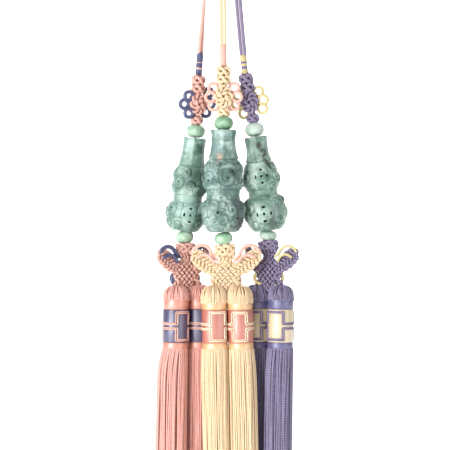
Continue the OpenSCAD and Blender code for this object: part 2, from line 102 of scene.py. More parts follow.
def plaited_silk(name, lit, hollow, deep):
    """Plaited silk cord: each end shows as a small lozenge, raised by a bump, with a painted highlight
    on its back and painted shade between. The real plait is twice as fine, too fine to show, so it
    is drawn coarser. Points that the strands of a knot shut in are painted in deep shade."""
    plaits = 4
    pitch = 1.5
    material, tree, shader = finish_named(name, {
        "Roughness": 0.5, "Specular IOR Level": 0.35,
        "Sheen Weight": 0.25, "Sheen Roughness": 0.4, "Sheen Tint": linear(lit)})
    place = put(tree, "SeparateXYZ", {0: put(tree, "UVMap", uv_map="cord")})
    around = put(tree, "Math", {0: place.outputs[0], 1: plaits}, operation="MULTIPLY")
    along = put(tree, "Math", {0: place.outputs[1], 1: pitch}, operation="DIVIDE")
    backs, cells = [], []
    for way in ("ADD", "SUBTRACT"):
        across = put(tree, "Math", {0: around, 1: along}, operation=way)
        half_turn = put(tree, "Math", {0: across, 1: math.pi}, operation="MULTIPLY")
        wave = put(tree, "Math", {0: half_turn}, operation="SINE")
        backs.append(put(tree, "Math", {0: wave}, operation="ABSOLUTE"))
        cells.append(put(tree, "Math", {0: across}, operation="FLOOR"))
    cell_sum = put(tree, "Math", {0: cells[0], 1: cells[1]}, operation="ADD")
    upper = put(tree, "Math", {0: cell_sum, 1: 1.0}, operation="PINGPONG")
    crowns = []
    for over, under in (backs, reversed(backs)):
        dip = put(tree, "Math", {0: under, 1: 0.45, 2: 0.55}, operation="MULTIPLY_ADD")
        crowns.append(put(tree, "Math", {0: over, 1: dip}, operation="MULTIPLY"))
    height = put(tree, "Mix", {0: upper, 2: crowns[0], 3: crowns[1]}, data_type="FLOAT")
    cloud = put(tree, "TexNoise", {
        "Vector": put(tree, "TexCoord").outputs["Object"], "Scale": 1 / (2.5 * MM), "Detail": 2.0})
    shade = put(tree, "Math", {0: cloud, 1: 0.35, 2: -0.12}, operation="MULTIPLY_ADD")
    tone = put(tree, "MapRange", {
        0: put(tree, "Math", {0: height, 1: shade}, operation="ADD"), 1: 0.0, 2: 0.9})
    # Painted light: the lozenges' backs take the lit colour, the hollows between them the colour of painted
    # shade
    plait = put(tree, "Mix", {0: tone, 6: linear(hollow), 7: linear(lit)}, data_type="RGBA")
    # Painted shade: points shut in by the knot's strands are mixed towards the deep colour
    shut_in = put(tree, "Attribute", attribute_name="hollow").outputs["Fac"]
    shadow = put(tree, "MapRange", {0: shut_in, 1: 0.2, 2: 0.85, 4: 0.85})
    colour = put(tree, "Mix", {0: shadow, 6: plait.outputs[2], 7: linear(deep)}, data_type="RGBA")
    bump = put(tree, "Bump", {"Height": height, "Distance": 0.15 * MM, "Strength": 0.7})
    feed(tree, shader, {"Base Color": colour.outputs[2], "Normal": bump})
    return material


# Each silk's lit colour, the colour of painted shade between its plaits, and its deep painted shade in the
# knots
silk = {
    "pink": plaited_silk("pink plaited silk", "ECC0B4", "B77568", "6B3029"),
    "cream": plaited_silk("cream plaited silk", "F0DABD", "CAA571", "966C38"),
    "violet": plaited_silk("violet plaited silk", "9388A4", "514561", "231B33"),
}


def flow(points, step, closed=False):
    """A smooth line through the points, in short even steps."""
    knots = [Vector(p) for p in points]
    ends = (knots[-1:], knots[:2]) if closed else ([knots[0] * 2 - knots[1]], [knots[-1] * 2 - knots[-2]])
    knots = ends[0] + knots + ends[1]
    fine = []
    for a, b, c, d in zip(knots, knots[1:], knots[2:], knots[3:]):
        count = max(2, round((c - b).length / step))
        for k in range(count):
            t = k / count
            fine.append(((b * 2) + (c - a) * t + (a * 2 - b * 5 + c * 4 - d) * t * t
                         + (b * 3 - a - c * 3 + d) * t ** 3) / 2)
    fine.append(fine[0].copy() if closed else knots[-2])
    return fine


def cord_map(bm):
    """The UV map of a cord or a turned piece: once round it, and along it in mm."""
    maps = bm.loops.layers.uv
    return maps["cord"] if "cord" in maps else maps.new("cord")


def lay_cord(bm, line, radius, sides=8, flat=1.0, turn=0.0, closed=False, frame_turn=0.0,
             index=0, start=0.0):
    """Rolls a flat grid round the line into a cord with round ends. A flat section makes a full turn
    about every so many mm. The map's length counts on from the start that is given."""
    cap = ((0.95, 0.0005), (0.6, 0.72))      # an end's two rings: how far out and how wide, in radii
    uv = cord_map(bm)
    points = [Vector(p) for p in line]
    radii = [radius(k / (len(points) - 1)) if callable(radius) else radius for k in range(len(points))]
    ways = [(points[min(k + 1, len(points) - 1)] - points[max(k - 1, 0)]).normalized()
            for k in range(len(points))]
    if closed:
        ways[0] = ways[-1] = (points[1] - points[-2]).normalized()
    else:
        first, last = radii[0], radii[-1]
        points = ([points[0] - ways[0] * first * far for far, _ in cap] + points
                  + [points[-1] + ways[-1] * last * far for far, _ in reversed(cap)])
        radii = [first * wide for _, wide in cap] + radii + [last * wide for _, wide in reversed(cap)]
        ways = [ways[0]] * 2 + ways + [ways[-1]] * 2
    u = ways[0].orthogonal().normalized()
    us = []
    for way in ways:
        u = (u - way * u.dot(way)).normalized()
        us.append(u)
    slip = 0.0
    if closed:
        slip = math.atan2(us[-1].cross(us[0]).dot(ways[0]), us[-1].dot(us[0]))
        if turn:
            whole = sum((b - a).length for a, b in zip(points, points[1:]))
            turn = whole / round(whole / turn)
    rows = len(points)
    made = bmesh.ops.create_grid(bm, x_segments=sides, y_segments=rows - 1, size=0.5)["verts"]
    length = 0.0
    for j in range(rows):
        if j:
            length += (points[j] - points[j - 1]).length
        v = ways[j].cross(us[j])
        spin = slip * j / (rows - 1) + frame_turn + (2 * math.pi * length / turn if turn else 0.0)
        long_axis = (us[j] * math.cos(spin) + v * math.sin(spin)) * radii[j]
        short_axis = (v * math.cos(spin) - us[j] * math.sin(spin)) * radii[j] * flat
        for i in range(sides + 1):
            angle = 2 * math.pi * i / sides
            vertex = made[j * (sides + 1) + i]
            vertex.co = points[j] + long_axis * math.cos(angle) + short_axis * math.sin(angle)
            for loop in vertex.link_loops:
                loop[uv].uv = (i / sides, start + length)
                loop.face.material_index = index


def hang(bm, name, materials, node, reach=0.0):
    """Closes the mesh, turns its faces outwards, and makes it a piece of the ornament in metres.
    With a reach in mm, each point is marked with how far the strands about it shut it in; the
    materials darken these points as painted shade."""
    bmesh.ops.remove_doubles(bm, verts=bm.verts, dist=0.003)
    bmesh.ops.recalc_face_normals(bm, faces=bm.faces)
    # Painted shade: each point's share of rays that meet the mesh nearby becomes a mask that darkens its
    # colour
    if reach:
        rays = 8
        bm.normal_update()
        walls = BVHTree.FromBMesh(bm)
        hollow = bm.verts.layers.float.new("hollow")
        for vertex in bm.verts:
            out = vertex.normal
            aside = out.orthogonal().normalized()
            across = out.cross(aside)
            met = 0
            for k in range(rays):
                a = 2 * math.pi * k / rays
                way = out * 0.55 + aside * math.cos(a) + across * math.sin(a)
                if walls.ray_cast(vertex.co + out * 0.03, way, reach)[0]:
                    met += 1
            vertex[hollow] = met / rays
    bmesh.ops.scale(bm, vec=(MM, MM, MM), verts=bm.verts)
    for face in bm.faces:
        face.smooth = True
    mesh = bpy.data.meshes.new(name)
    bm.to_mesh(mesh)
    bm.free()
    for material in materials:
        mesh.materials.append(material)
    piece = bpy.data.objects.new(name, mesh)
    scene.collection.objects.link(piece)
    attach(piece, "root")
    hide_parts(node)
    return piece


cord_r = 0.95
cord_routes = {
    "pink": [
        (-12.3, 4.3, -86.2), (-11.6, 3.3, -78), (-10.6, 2.3, -69), (-9.7, 1.5, -60),
        (-9, 0.9, -52), (-8.2, 0.3, -44), (-7.4, -0.4, -37), (-6.5, -1.6, -30), (-5.7, -3.1, -24),
        (-5, -4, -18), (-5, -2.8, -15.2), (-5, 0, -14), (-5, 2.8, -15.2), (-5, 4, -18),
        (-5.7, 3.5, -24), (-6.5, 2.7, -30), (-7.4, 2.2, -37), (-8.2, 2.4, -44), (-9, 2.9, -52),
        (-9.7, 3.5, -60), (-10.2, 4.3, -69), (-10.6, 5.1, -78), (-10.9, 5.7, -86.2)],
    "cream": [
        (-0.4, 0, -82.4), (-0.5, 0, -74), (-0.6, 0, -66), (-0.8, 0, -58),
        (-0.8, -0.4, -50), (-0.7, -0.9, -43), (-0.6, -1.5, -36), (-0.5, -2.4, -30), (-0.5, -3.4, -24),
        (-0.5, -4, -18), (-0.5, -2.8, -15.2), (-0.5, 0, -14), (-0.5, 2.8, -15.2), (-0.5, 4, -18),
        (-0.5, 3.4, -24), (-0.5, 2.4, -30), (-0.2, 1.5, -36), (0.4, 0.9, -43), (1, 0.4, -50),
        (1.2, 0, -58), (1.4, 0, -66), (1.5, 0, -74), (1.6, 0, -82.4)],
    "violet": [
        (10.3, 3.8, -87.4), (9.4, 3.2, -78), (8.6, 2.6, -69), (7.8, 2, -60),
        (7.2, 1.3, -52), (6.7, 0.5, -44), (6.2, -0.5, -37), (5.5, -1.7, -30), (4.8, -3.1, -24),
        (4, -4, -18), (4, -2.8, -15.2), (4, 0, -14), (4, 2.8, -15.2), (4, 4, -18),
        (4.9, 3.5, -24), (5.8, 2.6, -30), (7, 2, -37), (8.1, 2, -44), (9.1, 1.9, -52),
        (9.8, 2, -60), (10.6, 2.6, -69), (11.4, 3.2, -78), (12.3, 3.8, -87.4)],
}
for strand in STRANDS:
    line = flow(cord_routes[strand], 1.0)
    bm = bmesh.new()
    lay_cord(bm, line, cord_r, sides=12)
    piece = hang(bm, f"{strand}_hanging_cord", [silk[strand]], f"{strand}_cord")
    run = sum((b - a).length for a, b in zip(line, line[1:]))
    [p * MM for p in line]

# Studio
# A pale floor of painted board sweeps up behind into a backdrop, which has a light of its own. A
# tall soft light stands at the front left and a weak one at the right, in an even white room.
floor_z = -0.46
half_width = 2.5
front_y = -1.6
bend_y = 1.0
bend_r = 0.6
wall_h = 1.9
sweep = bmesh.new()
rim = sweep.edges.new([sweep.verts.new((half_width * s, front_y, floor_z)) for s in (-1, 1)])
for way in ((0, bend_y - front_y, 0), (0, 0, wall_h)):
    drawn = bmesh.ops.extrude_edge_only(sweep, edges=[rim])["geom"]
    bmesh.ops.translate(sweep, vec=way, verts=[g for g in drawn if isinstance(g, bmesh.types.BMVert)])
    if way[1]:
        bmesh.ops.spin(sweep, geom=[g for g in drawn if not isinstance(g, bmesh.types.BMFace)],
                       cent=(0, bend_y, floor_z + bend_r), axis=(1, 0, 0), angle=math.radians(90), steps=16)
        rim = next(e for e in sweep.edges if all(v.co.y > bend_y + bend_r - 0.001 for v in e.verts))
for face in sweep.faces:
    face.smooth = True
mesh = bpy.data.meshes.new("pale floor")
sweep.to_mesh(mesh)
sweep.free()
# Matt paint scatters the light evenly, with no glint in it
floor_paint, _, _ = finish_named("matt white studio paint", {
    "Base Color": linear("F4F3F1"), "Roughness": 0.9, "Specular IOR Level": 0.1})
mesh.materials.append(floor_paint)
floor = bpy.data.objects.new("pale_floor", mesh)
scene.collection.objects.link(floor)

room = bpy.data.worlds.new("white room")
room.use_nodes = True
room.node_tree.nodes["Background"].inputs["Color"].default_value = linear("FFFFFF")
room.node_tree.nodes["Background"].inputs["Strength"].default_value = 0.34
scene.world = room
scene.view_settings.view_transform = "Standard"
for name, place, width, height, power in (
    ("tall soft key", (-0.62, -0.72, -0.10), 0.55, 0.9, 13.2),
    ("right fill", (0.8, -0.6, -0.1), 0.5, 0.8, 3.6),
    ("backdrop wash", (0, 0.6, 0.9), 2.0, 0.6, 40.0),
):
    lamp = bpy.data.lights.new(name, "AREA")
    lamp.shape = "RECTANGLE"
    lamp.size = width
    lamp.size_y = height
    lamp.energy = power
    light = bpy.data.objects.new(name, lamp)
    light.location = place
    aim = (Vector((0.0, 1.4, -0.2)) if name == "backdrop wash" else view_centre) - light.location
    light.rotation_euler = aim.to_track_quat("-Z", "Y").to_euler()
    scene.collection.objects.link(light)

# Clasp
# A plain hook clasp of brass sheet and rod, cut, bent and brushed. It sits above the frame, so it
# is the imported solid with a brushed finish.
brass, tree, shader = finish_named("brushed brass", {
    "Base Color": linear("C9B27A"), "Metallic": 1.0, "Roughness": 0.34})
# The brush leaves long fine strokes that run across, six to the mm, and they catch the light
strokes_per_mm = (0.06, 0.9, 6)
grain = put(tree, "Mapping", {
    0: put(tree, "TexCoord").outputs["Object"], "Scale": [count / MM for count in strokes_per_mm]})
strokes = put(tree, "TexNoise", {"Vector": grain, "Scale": 1.0, "Detail": 3.0})
tone = put(tree, "Mix", {0: strokes, 6: linear("B0965C"), 7: linear("DCC791")}, data_type="RGBA")
wear = put(tree, "MapRange", {0: strokes, 3: 0.26, 4: 0.45})
scratch = put(tree, "Bump", {"Height": strokes, "Distance": 0.03 * MM, "Strength": 0.5})
feed(tree, shader, {"Base Color": tone.outputs[2], "Roughness": wear, "Normal": scratch})
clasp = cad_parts["top_clasp"]
clasp.data.materials.clear()
clasp.data.materials.append(brass)

# Thread bindings
# Fine silk thread is wound close round the doubled cord, turn against turn. The pink and the violet
# strand's bindings change thread twice, which leaves two narrow stripes.

# Points of the line that each strand hangs along: z, x, y
HANG_LINES = {
    "pink": [(-86, -11.6, 5), (-99, -12.7, 6.2), (-125, -13.8, 8.9), (-182.3, -20.7, 11.6),
             (-188.4, -19.8, 10.6), (-195, -19.6, 9.4), (-206, -19.2, 8.7), (-220, -19.2, 8.7)],
    "cream": [(-82, 0.6, 0), (-95, 0.8, 0), (-121.2, 0.9, 0), (-183, 0.5, 0),
              (-188.9, 1.2, 0), (-195.5, 1.8, 0), (-206, 2.1, 0), (-220, 2.1, 0)],
    "violet": [(-87, 11.2, 3.8), (-98, 12.4, 4.6), (-107.5, 14.2, 5.4), (-124, 17, 7.2),
               (-182.1, 24.9, 8.8), (-187, 24.7, 8.3), (-193, 25.1, 7.4),
               (-205.3, 25.1, 6.4), (-220, 25.1, 6.4)],
}


def on_line(strand, z):
    """The point at height z on the line that the strand hangs along."""
    rows = HANG_LINES[strand]
    z = min(max(z, rows[-1][0]), rows[0][0])
    for (z0, x0, y0), (z1, x1, y1) in zip(rows, rows[1:]):
        if z >= z1:
            t = (z0 - z) / (z0 - z1)
            return Vector((x0 + (x1 - x0) * t, y0 + (y1 - y0) * t, z))


def hung(strand, z, lean_z, turn=0.0):
    """The frame of a piece that hangs at height z and leans as the line does at lean_z."""
    low, high = on_line(strand, lean_z - 1), on_line(strand, lean_z + 1)
    lean_x, lean_y = math.atan2(low.x - high.x, 2), math.atan2(low.y - high.y, 2)
    place = on_line(strand, z)
    place.z = z
    return (Matrix.Translation(place) @ Matrix.Rotation(-lean_x, 4, "Y") @ Matrix.Rotation(lean_y, 4, "X")
            @ Matrix.Rotation(math.radians(turn), 4, "Z"))


def wound_silk(name, lit, hollow, thread=0.42, gloss=0.0):
    """Silk thread wound round a core: glossy, with a fine groove between the turns, bumped and given
    painted shade, and streaks of tone about 0.6 mm apart. Flat satin thread has a gloss that glows wide
    down its lit side."""
    material, tree, shader = finish_named(name, {
        "Roughness": 0.38, "IOR": 1.4 + 0.35 * gloss, "Specular IOR Level": 1.0,
        "Coat Weight": gloss, "Coat Roughness": 0.36,
        "Sheen Weight": 0.15, "Sheen Roughness": 0.3, "Sheen Tint": linear(lit)})
    place = put(tree, "SeparateXYZ", {0: put(tree, "UVMap", uv_map="cord")})
    slant = put(tree, "Math", {0: place.outputs[0], 1: thread, 2: place.outputs[1]},
                operation="MULTIPLY_ADD")
    turns = put(tree, "Math", {0: slant, 1: math.pi / thread}, operation="MULTIPLY")
    wave = put(tree, "Math", {0: turns}, operation="SINE")
    back = put(tree, "Math", {0: wave}, operation="ABSOLUTE")
    streaks = put(tree, "TexNoise", {"W": slant, "Scale": 1.7, "Detail": 3.0},
                  noise_dimensions="1D")
    shade = put(tree, "Math", {0: streaks, 1: 0.5, 2: 0.1}, operation="MULTIPLY_ADD")
    tone = put(tree, "Math", {0: back, 1: 0.4, 2: shade}, operation="MULTIPLY_ADD", use_clamp=True)
    # Painted light and tone: the backs of the turns take the lit colour and the grooves the colour of
    # painted shade, and the streaks vary it at random
    colour = put(tree, "Mix", {0: tone, 6: linear(hollow), 7: linear(lit)}, data_type="RGBA")
    bump = put(tree, "Bump", {"Height": back, "Distance": 0.06 * MM, "Strength": 0.6})
    feed(tree, shader, {"Base Color": colour.outputs[2], "Normal": bump})
    return material


# Each thread's lit colour, then the colour of painted shade in the grooves between its turns
thread = {
    "pink": wound_silk("navy wound silk", "50557B", "313657"),
    "cream": wound_silk("pink wound silk", "F3C2B3", "D18F7F"),
    "violet": wound_silk("pale yellow wound silk", "DCCF97", "A38F55"),
}
# Lit colour, then colour of painted shade in the grooves
stripe_thread = {
    "pink": wound_silk("pink stripe silk", "F3CABD", "CE8C7D"),
    "cream": thread["cream"],
    "violet": wound_silk("violet stripe silk", "8378AB", "4D4370"),
}


def turned(bm, profile, steps, place, index=0):
    """Spins a profile of (radius, z) round the z axis, and puts it in its place."""
    uv = cord_map(bm)
    before = set(bm.faces)
    verts = [bm.verts.new((r, 0, z)) for r, z in profile]
    edges = [bm.edges.new(pair) for pair in zip(verts, verts[1:])]
    bmesh.ops.spin(bm, geom=verts + edges, cent=(0, 0, 0), axis=(0, 0, 1), angle=2 * math.pi,
                   steps=steps, use_merge=True)
    faces = [f for f in bm.faces if f not in before]
    for face in faces:
        face.material_index = index
        middle = face.calc_center_median()
        centre_turn = math.atan2(middle.y, middle.x) / (2 * math.pi)
        for loop in face.loops:
            around = math.atan2(loop.vert.co.y, loop.vert.co.x) / (2 * math.pi)
            around += round(centre_turn - around)
            loop[uv].uv = (around, -loop.vert.co.z)
    bmesh.ops.transform(bm, matrix=place, verts=list({v for f in faces for v in f.verts}))


# Binding top, binding end, and the z ranges of its two stripes
BINDINGS = {
    "pink": (-86.4, -98.6, ((-91.2, -92.1), (-94.3, -95.6))),
    "cream": (-82.6, -94.3, ()),
    "violet": (-87.8, -97.8, ((-91.2, -92.3), (-94, -95.4))),
}
pitch = 0.5
bound_r = 1.85
groove = 0.2
shoulder = 0.04
stripe_sink = 0.12
end_sink = 0.3
lid_r = bound_r - 0.35
binding_sides = 28
for strand in STRANDS:
    top, end, stripes = BINDINGS[strand]
    count = round((top - end) / pitch)
    bm = bmesh.new()
    place = hung(strand, top, (top + end) / 2)
    turned(bm, [(0, 0.25), (0.9, 0.2), (lid_r, 0)], binding_sides, place)
    for k in range(count):
        z = -k * pitch
        striped = any(b <= top + z - pitch / 2 <= a for a, b in stripes)
        rise = bound_r - (stripe_sink if striped else 0) - (end_sink if k in (0, count - 1) else 0)
        turned(bm, [(rise - groove, z), (rise - shoulder, z - pitch * 0.22), (rise, z - pitch * 0.5),
                    (rise - shoulder, z - pitch * 0.78), (rise - groove, z - pitch)],
               binding_sides, place, int(striped))
    turned(bm, [(lid_r, -count * pitch), (0, -count * pitch)], binding_sides, place)
    hang(bm, f"{strand}_thread_binding", [thread[strand], stripe_thread[strand]],
         f"{strand}_binding")

# Double-connection knots
# The doubled cord is turned round itself and drawn tight into a small barrel of strands that go over
# and under each other. Two sit above the flower knot, one below it.
FLOWER_TURN = {"pink": 24, "cream": 0, "violet": -12}
fine_step = 0.45
pair_x = 0.9                  # how far each run of the doubled cord lies from its middle


def barrel_knot(bm, place, width, depth, height, leads, bights, radius=1.0):
    """A woven barrel with its top at the frame's origin. Leads cross it, bights are its scallops."""
    lift = 0.42
    first_turn = 0.4
    count = 10 * bights
    weave = []
    for k in range(count):
        t = 2 * math.pi * k / count
        over = 1 + lift * math.sin((leads - 1) * bights * t) / (width / 2 - radius)
        up = math.cos(bights * t)
        x = (width / 2 - radius) * over * math.cos(leads * t + first_turn)
        y = (depth / 2 - radius) * over * math.sin(leads * t + first_turn)
        z = -height / 2 + (height / 2 - radius) * math.copysign(abs(up) ** 0.75, up)
        weave.append(place @ Vector((x, y, z)))
    lay_cord(bm, flow(weave, fine_step, closed=True), radius, closed=True)
    for x in (-width * 0.17, width * 0.17):
        lay_cord(bm, [place @ Vector((x, 0, -k * height / 4)) for k in range(5)], radius * 1.1)


# Top and end of the upper two knots together, top and end of the lower one
CROWNS = {"pink": (-98.8, -107.8, -120.4, -124.8), "cream": (-94.5, -103.4, -116.7, -121.0),
          "violet": (-98.0, -107.5, -119.6, -123.8)}
for strand in STRANDS:
    top, end, neck_top, neck_end = CROWNS[strand]
    each = (top - end) / 2
    bm = bmesh.new()
    place = hung(strand, top, top - each, FLOWER_TURN[strand])
    for k in (0, 1):
        barrel_knot(bm, place @ Matrix.Translation((0, 0, 0.2 - k * each)),
                    width=7.4, depth=6.6, height=each + 0.5, leads=2, bights=5)
    for x in (-pair_x, pair_x):
        lay_cord(bm, [place @ Vector((x, 0, z)) for z in (0.4, -0.4, -1.2)], 0.9)
    hang(bm, f"{strand}_double_knots", [silk[strand]], f"{strand}_crown_knots", reach=1.3)
    bm = bmesh.new()
    barrel_knot(bm, hung(strand, neck_top + 0.1, (neck_top + neck_end) / 2, FLOWER_TURN[strand]),
                width=6.7, depth=6.0, height=neck_top - neck_end + 0.1, leads=2, bights=5)
    hang(bm, f"{strand}_single_knot", [silk[strand]], f"{strand}_neck_knot", reach=1.3)

# Flower knots
# The cord is woven over and under itself into a pinwheel, once in front and once behind, with a
# small hollow in the middle. The doubled cord runs into it above and below.
FLOWERS = {"pink": -113.7, "cream": -110.4, "violet": -112.7}
petal_r = 3.5
petal_wave = 1.2
petal_depth = 1.75
petal_dive = 0.5
flower_narrow = 0.93
flower_tall = 1.2
half_run = 3.1                # the four short runs that make the pinwheel
run_depth = 2.75
run_dive = 0.55
run_width = 2.2
off_middle = 1.32
core_r = 2.2
for strand in STRANDS:
    z = FLOWERS[strand]
    top, end, neck_top, neck_end = CROWNS[strand]
    bm = bmesh.new()
    place = hung(strand, z, z, FLOWER_TURN[strand])
    for side in (-1, 1):
        for phase in (0, math.pi):
            petals = []
            for k in range(64):
                a = 2 * math.pi * k / 64
                r = petal_r + petal_wave * math.cos(4 * a + phase)
                depth = petal_depth + petal_dive * math.sin(4 * a + phase)
                petals.append(place @ Vector((r * math.cos(a) * flower_narrow, side * depth,
                                              r * math.sin(a) * flower_tall)))
            lay_cord(bm, flow(petals, fine_step, closed=True), 0.92, closed=True)
        for quarter in range(4):
            spun = place @ Matrix.Rotation(math.radians(90 * quarter + 20 * side), 4, "Y")
            line = []
            for k in range(21):
                x = -half_run + 2 * half_run * k / 20
                dive = run_dive * side * math.sin(math.pi * x / run_width) * (abs(x) < run_width)
                depth = run_depth - dive - 1.2 * max(0, abs(x) - 2.0)
                line.append(spun @ Vector((x, side * depth, off_middle)))
            lay_cord(bm, line, 1.0)
    middle = bmesh.ops.create_uvsphere(bm, u_segments=16, v_segments=10, radius=core_r)["verts"]
    bmesh.ops.transform(bm, matrix=place @ Matrix.Diagonal((1, 0.5, 1, 1)), verts=middle)
    for x in (-pair_x, pair_x):
        lay_cord(bm, [place @ Vector((x, 0, h)) for h in range(2, int(end - z) + 1)], cord_r)
        lay_cord(bm, [place @ Vector((x, 0, -h)) for h in range(2, int(z - neck_top) + 1)], cord_r)
    hang(bm, f"{strand}_woven_flower", [silk[strand]], f"{strand}_flower_knot", reach=1.9)

# Wrapped rings of the flower
# Six little rings of cord wrapped all over with fine silk thread, in another colour, are caught
# between the flower's petals.

# The middle of each ring from the middle of its flower
RINGS = {
    "pink": [(-7.9, -0.8, -0.2), (-5.7, -1.5, 4.2), (-5.3, -1.5, -4.9),
             (7.2, -0.8, 0.2), (6.6, 0.8, 6.2), (5.6, 0.8, -4.4)],
    "cream": [(-7.1, -0.8, -0.2), (-5.5, 0.8, 4.8), (-5.4, 0.8, -4.7),
              (7.1, -0.8, -0.2), (5.6, 0.8, 4.8), (5.4, 0.8, -4.7)],
    "violet": [(-7.2, -0.8, 0), (-6, 0.8, 4.3), (-4.4, 0.8, -5.6),
               (7.3, -0.8, 0), (5.2, 0.8, 4.7), (5.9, 0.8, -4.5)],
}
WRAP_R = {"pink": 1.05, "cream": 0.88, "violet": 0.85}
ring_outer_r = 3.3
for strand in STRANDS:
    place = hung(strand, FLOWERS[strand], FLOWERS[strand], FLOWER_TURN[strand])
    wrap_r = WRAP_R[strand]
    ring_r = ring_outer_r - wrap_r
    bm = bmesh.new()
    for x, y, z in RINGS[strand]:
        ring = []
        for step in range(24):
            a = 2 * math.pi * step / 24
            out = Vector((x, 0, z)).normalized()
            spread = 1 + 0.05 * math.cos(2 * a)
            across = Vector((-out.z, 0, out.x))
            ring.append(place @ (Vector((x, y, z)) + out * ring_r * math.cos(a) * spread
                                 + across * ring_r * math.sin(a) / spread))
        lay_cord(bm, flow(ring, fine_step, closed=True), wrap_r, closed=True, sides=10)
    hang(bm, f"{strand}_wrapped_rings", [thread[strand]], f"{strand}_flower_rings")

# Jade beads and their thread
# Two flattened round beads of pale jade on each strand, drilled and polished, over and under the
# gourd. One silk thread runs from the neck knot through all three to the collar knot.

# Columns: neck knot's end, gourd top, gourd end, collar knot's top
DROPS = {"pink": (-125.0, -131.9, -182.3, -188.4), "cream": (-121.2, -128.2, -183.0, -188.9),
         "violet": (-124.0, -131.4, -182.1, -186.9)}


def polished_jade(name, pale, middle, deep, grain, seed, spots=(), veins=0.0):
    """Polished jade: clouded through its depth, a little light goes in. Spots are stained patches and
    veins, each a place in mm, a reach in mm and a colour. The carving's hollows stay dull and are
    painted dark as shade."""
    material, tree, shader = finish_named(name, {
        "Roughness": 0.42, "Specular IOR Level": 0.26, "IOR": 1.62,
        "Coat Weight": 0.06, "Coat Roughness": 0.25,
        "Subsurface Weight": 0.18, "Subsurface Scale": 2.5 * MM, "Subsurface Radius": (0.8, 1.0, 0.85)})
    place = put(tree, "TexCoord").outputs["Object"]
    moved = put(tree, "Mapping", {0: place, "Location": (seed, seed * 0.7, seed * 1.3)})
    cloud = put(tree, "TexNoise", {
        "Vector": moved, "Scale": 1 / (grain * MM), "Detail": 5.0, "Roughness": 0.62, "Distortion": 0.6})
    shades = put(tree, "ValToRGB", {0: cloud})
    ramp = shades.color_ramp
    ramp.elements[0].position, ramp.elements[0].color = 0.36, linear(deep)
    ramp.elements[1].position, ramp.elements[1].color = 0.62, linear(pale)
    ramp.elements.new(0.5).color = linear(middle)
    fleck = put(tree, "TexNoise", {"Vector": moved, "Scale": 1 / (1.6 * MM), "Detail": 2.0})
    stains_and_shade = [(put(tree, "MapRange", {0: fleck, 1: 0.55, 2: 0.75, 4: 0.35}), pale)]
    branch = put(tree, "TexNoise", {
        "Vector": moved, "Scale": 1 / (7 * MM), "Detail": 5.0, "Roughness": 0.6, "Distortion": 1.2})
    off_line = put(tree, "Math", {0: branch, 1: 0.5}, operation="SUBTRACT")
    off_line = put(tree, "Math", {0: off_line}, operation="ABSOLUTE")
    stains_and_shade.append((put(tree, "MapRange", {0: off_line, 2: 0.045, 3: veins, 4: 0.0}), "3B524A"))
    # The spots' outlines are ragged by up to half of 5.5 mm either way, in waves about 3 mm long
    ragged = Vector((5.5, 5.5, 5.5))
    torn = put(tree, "TexNoise", {"Vector": place, "Scale": 0.33 / MM, "Detail": 5.0})
    shaken = put(tree, "VectorMath", {0: torn.outputs["Color"], 1: ragged * MM, 2: place},
                 operation="MULTIPLY_ADD")
    for spot, reach, stain_or_shade in spots:
        centre = (Vector(spot) + ragged / 2) * MM
        away = put(tree, "VectorMath", {0: shaken, 1: centre}, operation="DISTANCE").outputs["Value"]
        stains_and_shade.append((put(tree, "MapRange", {
            0: away, 1: 0.35 * reach * MM, 2: reach * MM, 3: 0.92, 4: 0.0}), stain_or_shade))
    # Painted shade: the cuts, moats, low ground and ledges that the mask marks are mixed towards a dark
    # green
    hollow = put(tree, "Attribute", attribute_name="hollow").outputs["Fac"]
    stains_and_shade.append((put(tree, "Math", {0: hollow, 1: 0.62}, operation="MULTIPLY"), "39504A"))
    colour = shades.outputs[0]
    for share, stain_or_shade in stains_and_shade:
        colour = put(tree, "Mix", {0: share, 6: colour, 7: linear(stain_or_shade)}, data_type="RGBA").outputs[2]
    dull = put(tree, "MapRange", {0: hollow, 3: 0.38, 4: 0.7})
    feed(tree, shader, {"Base Color": colour, "Roughness": dull})
    return material


bead_jade = {
    "pink": polished_jade("mint jade", "BCCFBE", "9CBBA2", "82A689", 7, 0.3),
    "cream": polished_jade("green jade", "AAC7AC", "86AD8D", "6F9A78", 7, 0.9),
    "violet": polished_jade("milky jade", "BECBC3", "ABBEB1", "8FAD99", 6, 1.7),
}
bore_r = 1.0
rim_angle = 74
for strand in STRANDS:
    neck_end, gourd_top, gourd_end, collar_top = DROPS[strand]
    for kind, top, end, lean_z, bead_w in (
            ("upper", neck_end + 0.35, gourd_top, gourd_top, 10.3),
            ("lower", gourd_end + 0.3, collar_top - 0.55, (gourd_end + collar_top) / 2, 9.8)):
        h = top - end - 0.4
        profile = [(bore_r, h / 2)]
        for k in range(25):
            a = math.radians(rim_angle - 2 * rim_angle * k / 24)
            profile.append((bead_w / 2 * math.cos(a) ** 0.66,
                            h / 2 * math.sin(a) / math.sin(math.radians(rim_angle))))
        profile += [(bore_r, -h / 2), (bore_r, 0), (bore_r, h / 2)]
        bm = bmesh.new()
        turned(bm, profile, 64, hung(strand, top - 0.2, lean_z) @ Matrix.Translation((0, 0, -h / 2)))
        hang(bm, f"{strand}_{kind}_jade_bead", [bead_jade[strand]], f"{strand}_{kind}_bead")
    bm = bmesh.new()
    heights = (neck_end - 0.8, gourd_top, gourd_end, collar_top + 0.8)
    lay_cord(bm, flow([on_line(strand, z) for z in heights], 2.0), 0.6)
    hang(bm, f"{strand}_silk_thread", [silk[strand]], f"{strand}_bead_thread")

# Carved gourds
# Each is one hollow piece of mottled jade in the shape of a double gourd with an eight-sided neck.
# Scrolls of cloud are carved in relief round both bulbs, and the medallions are drilled through.

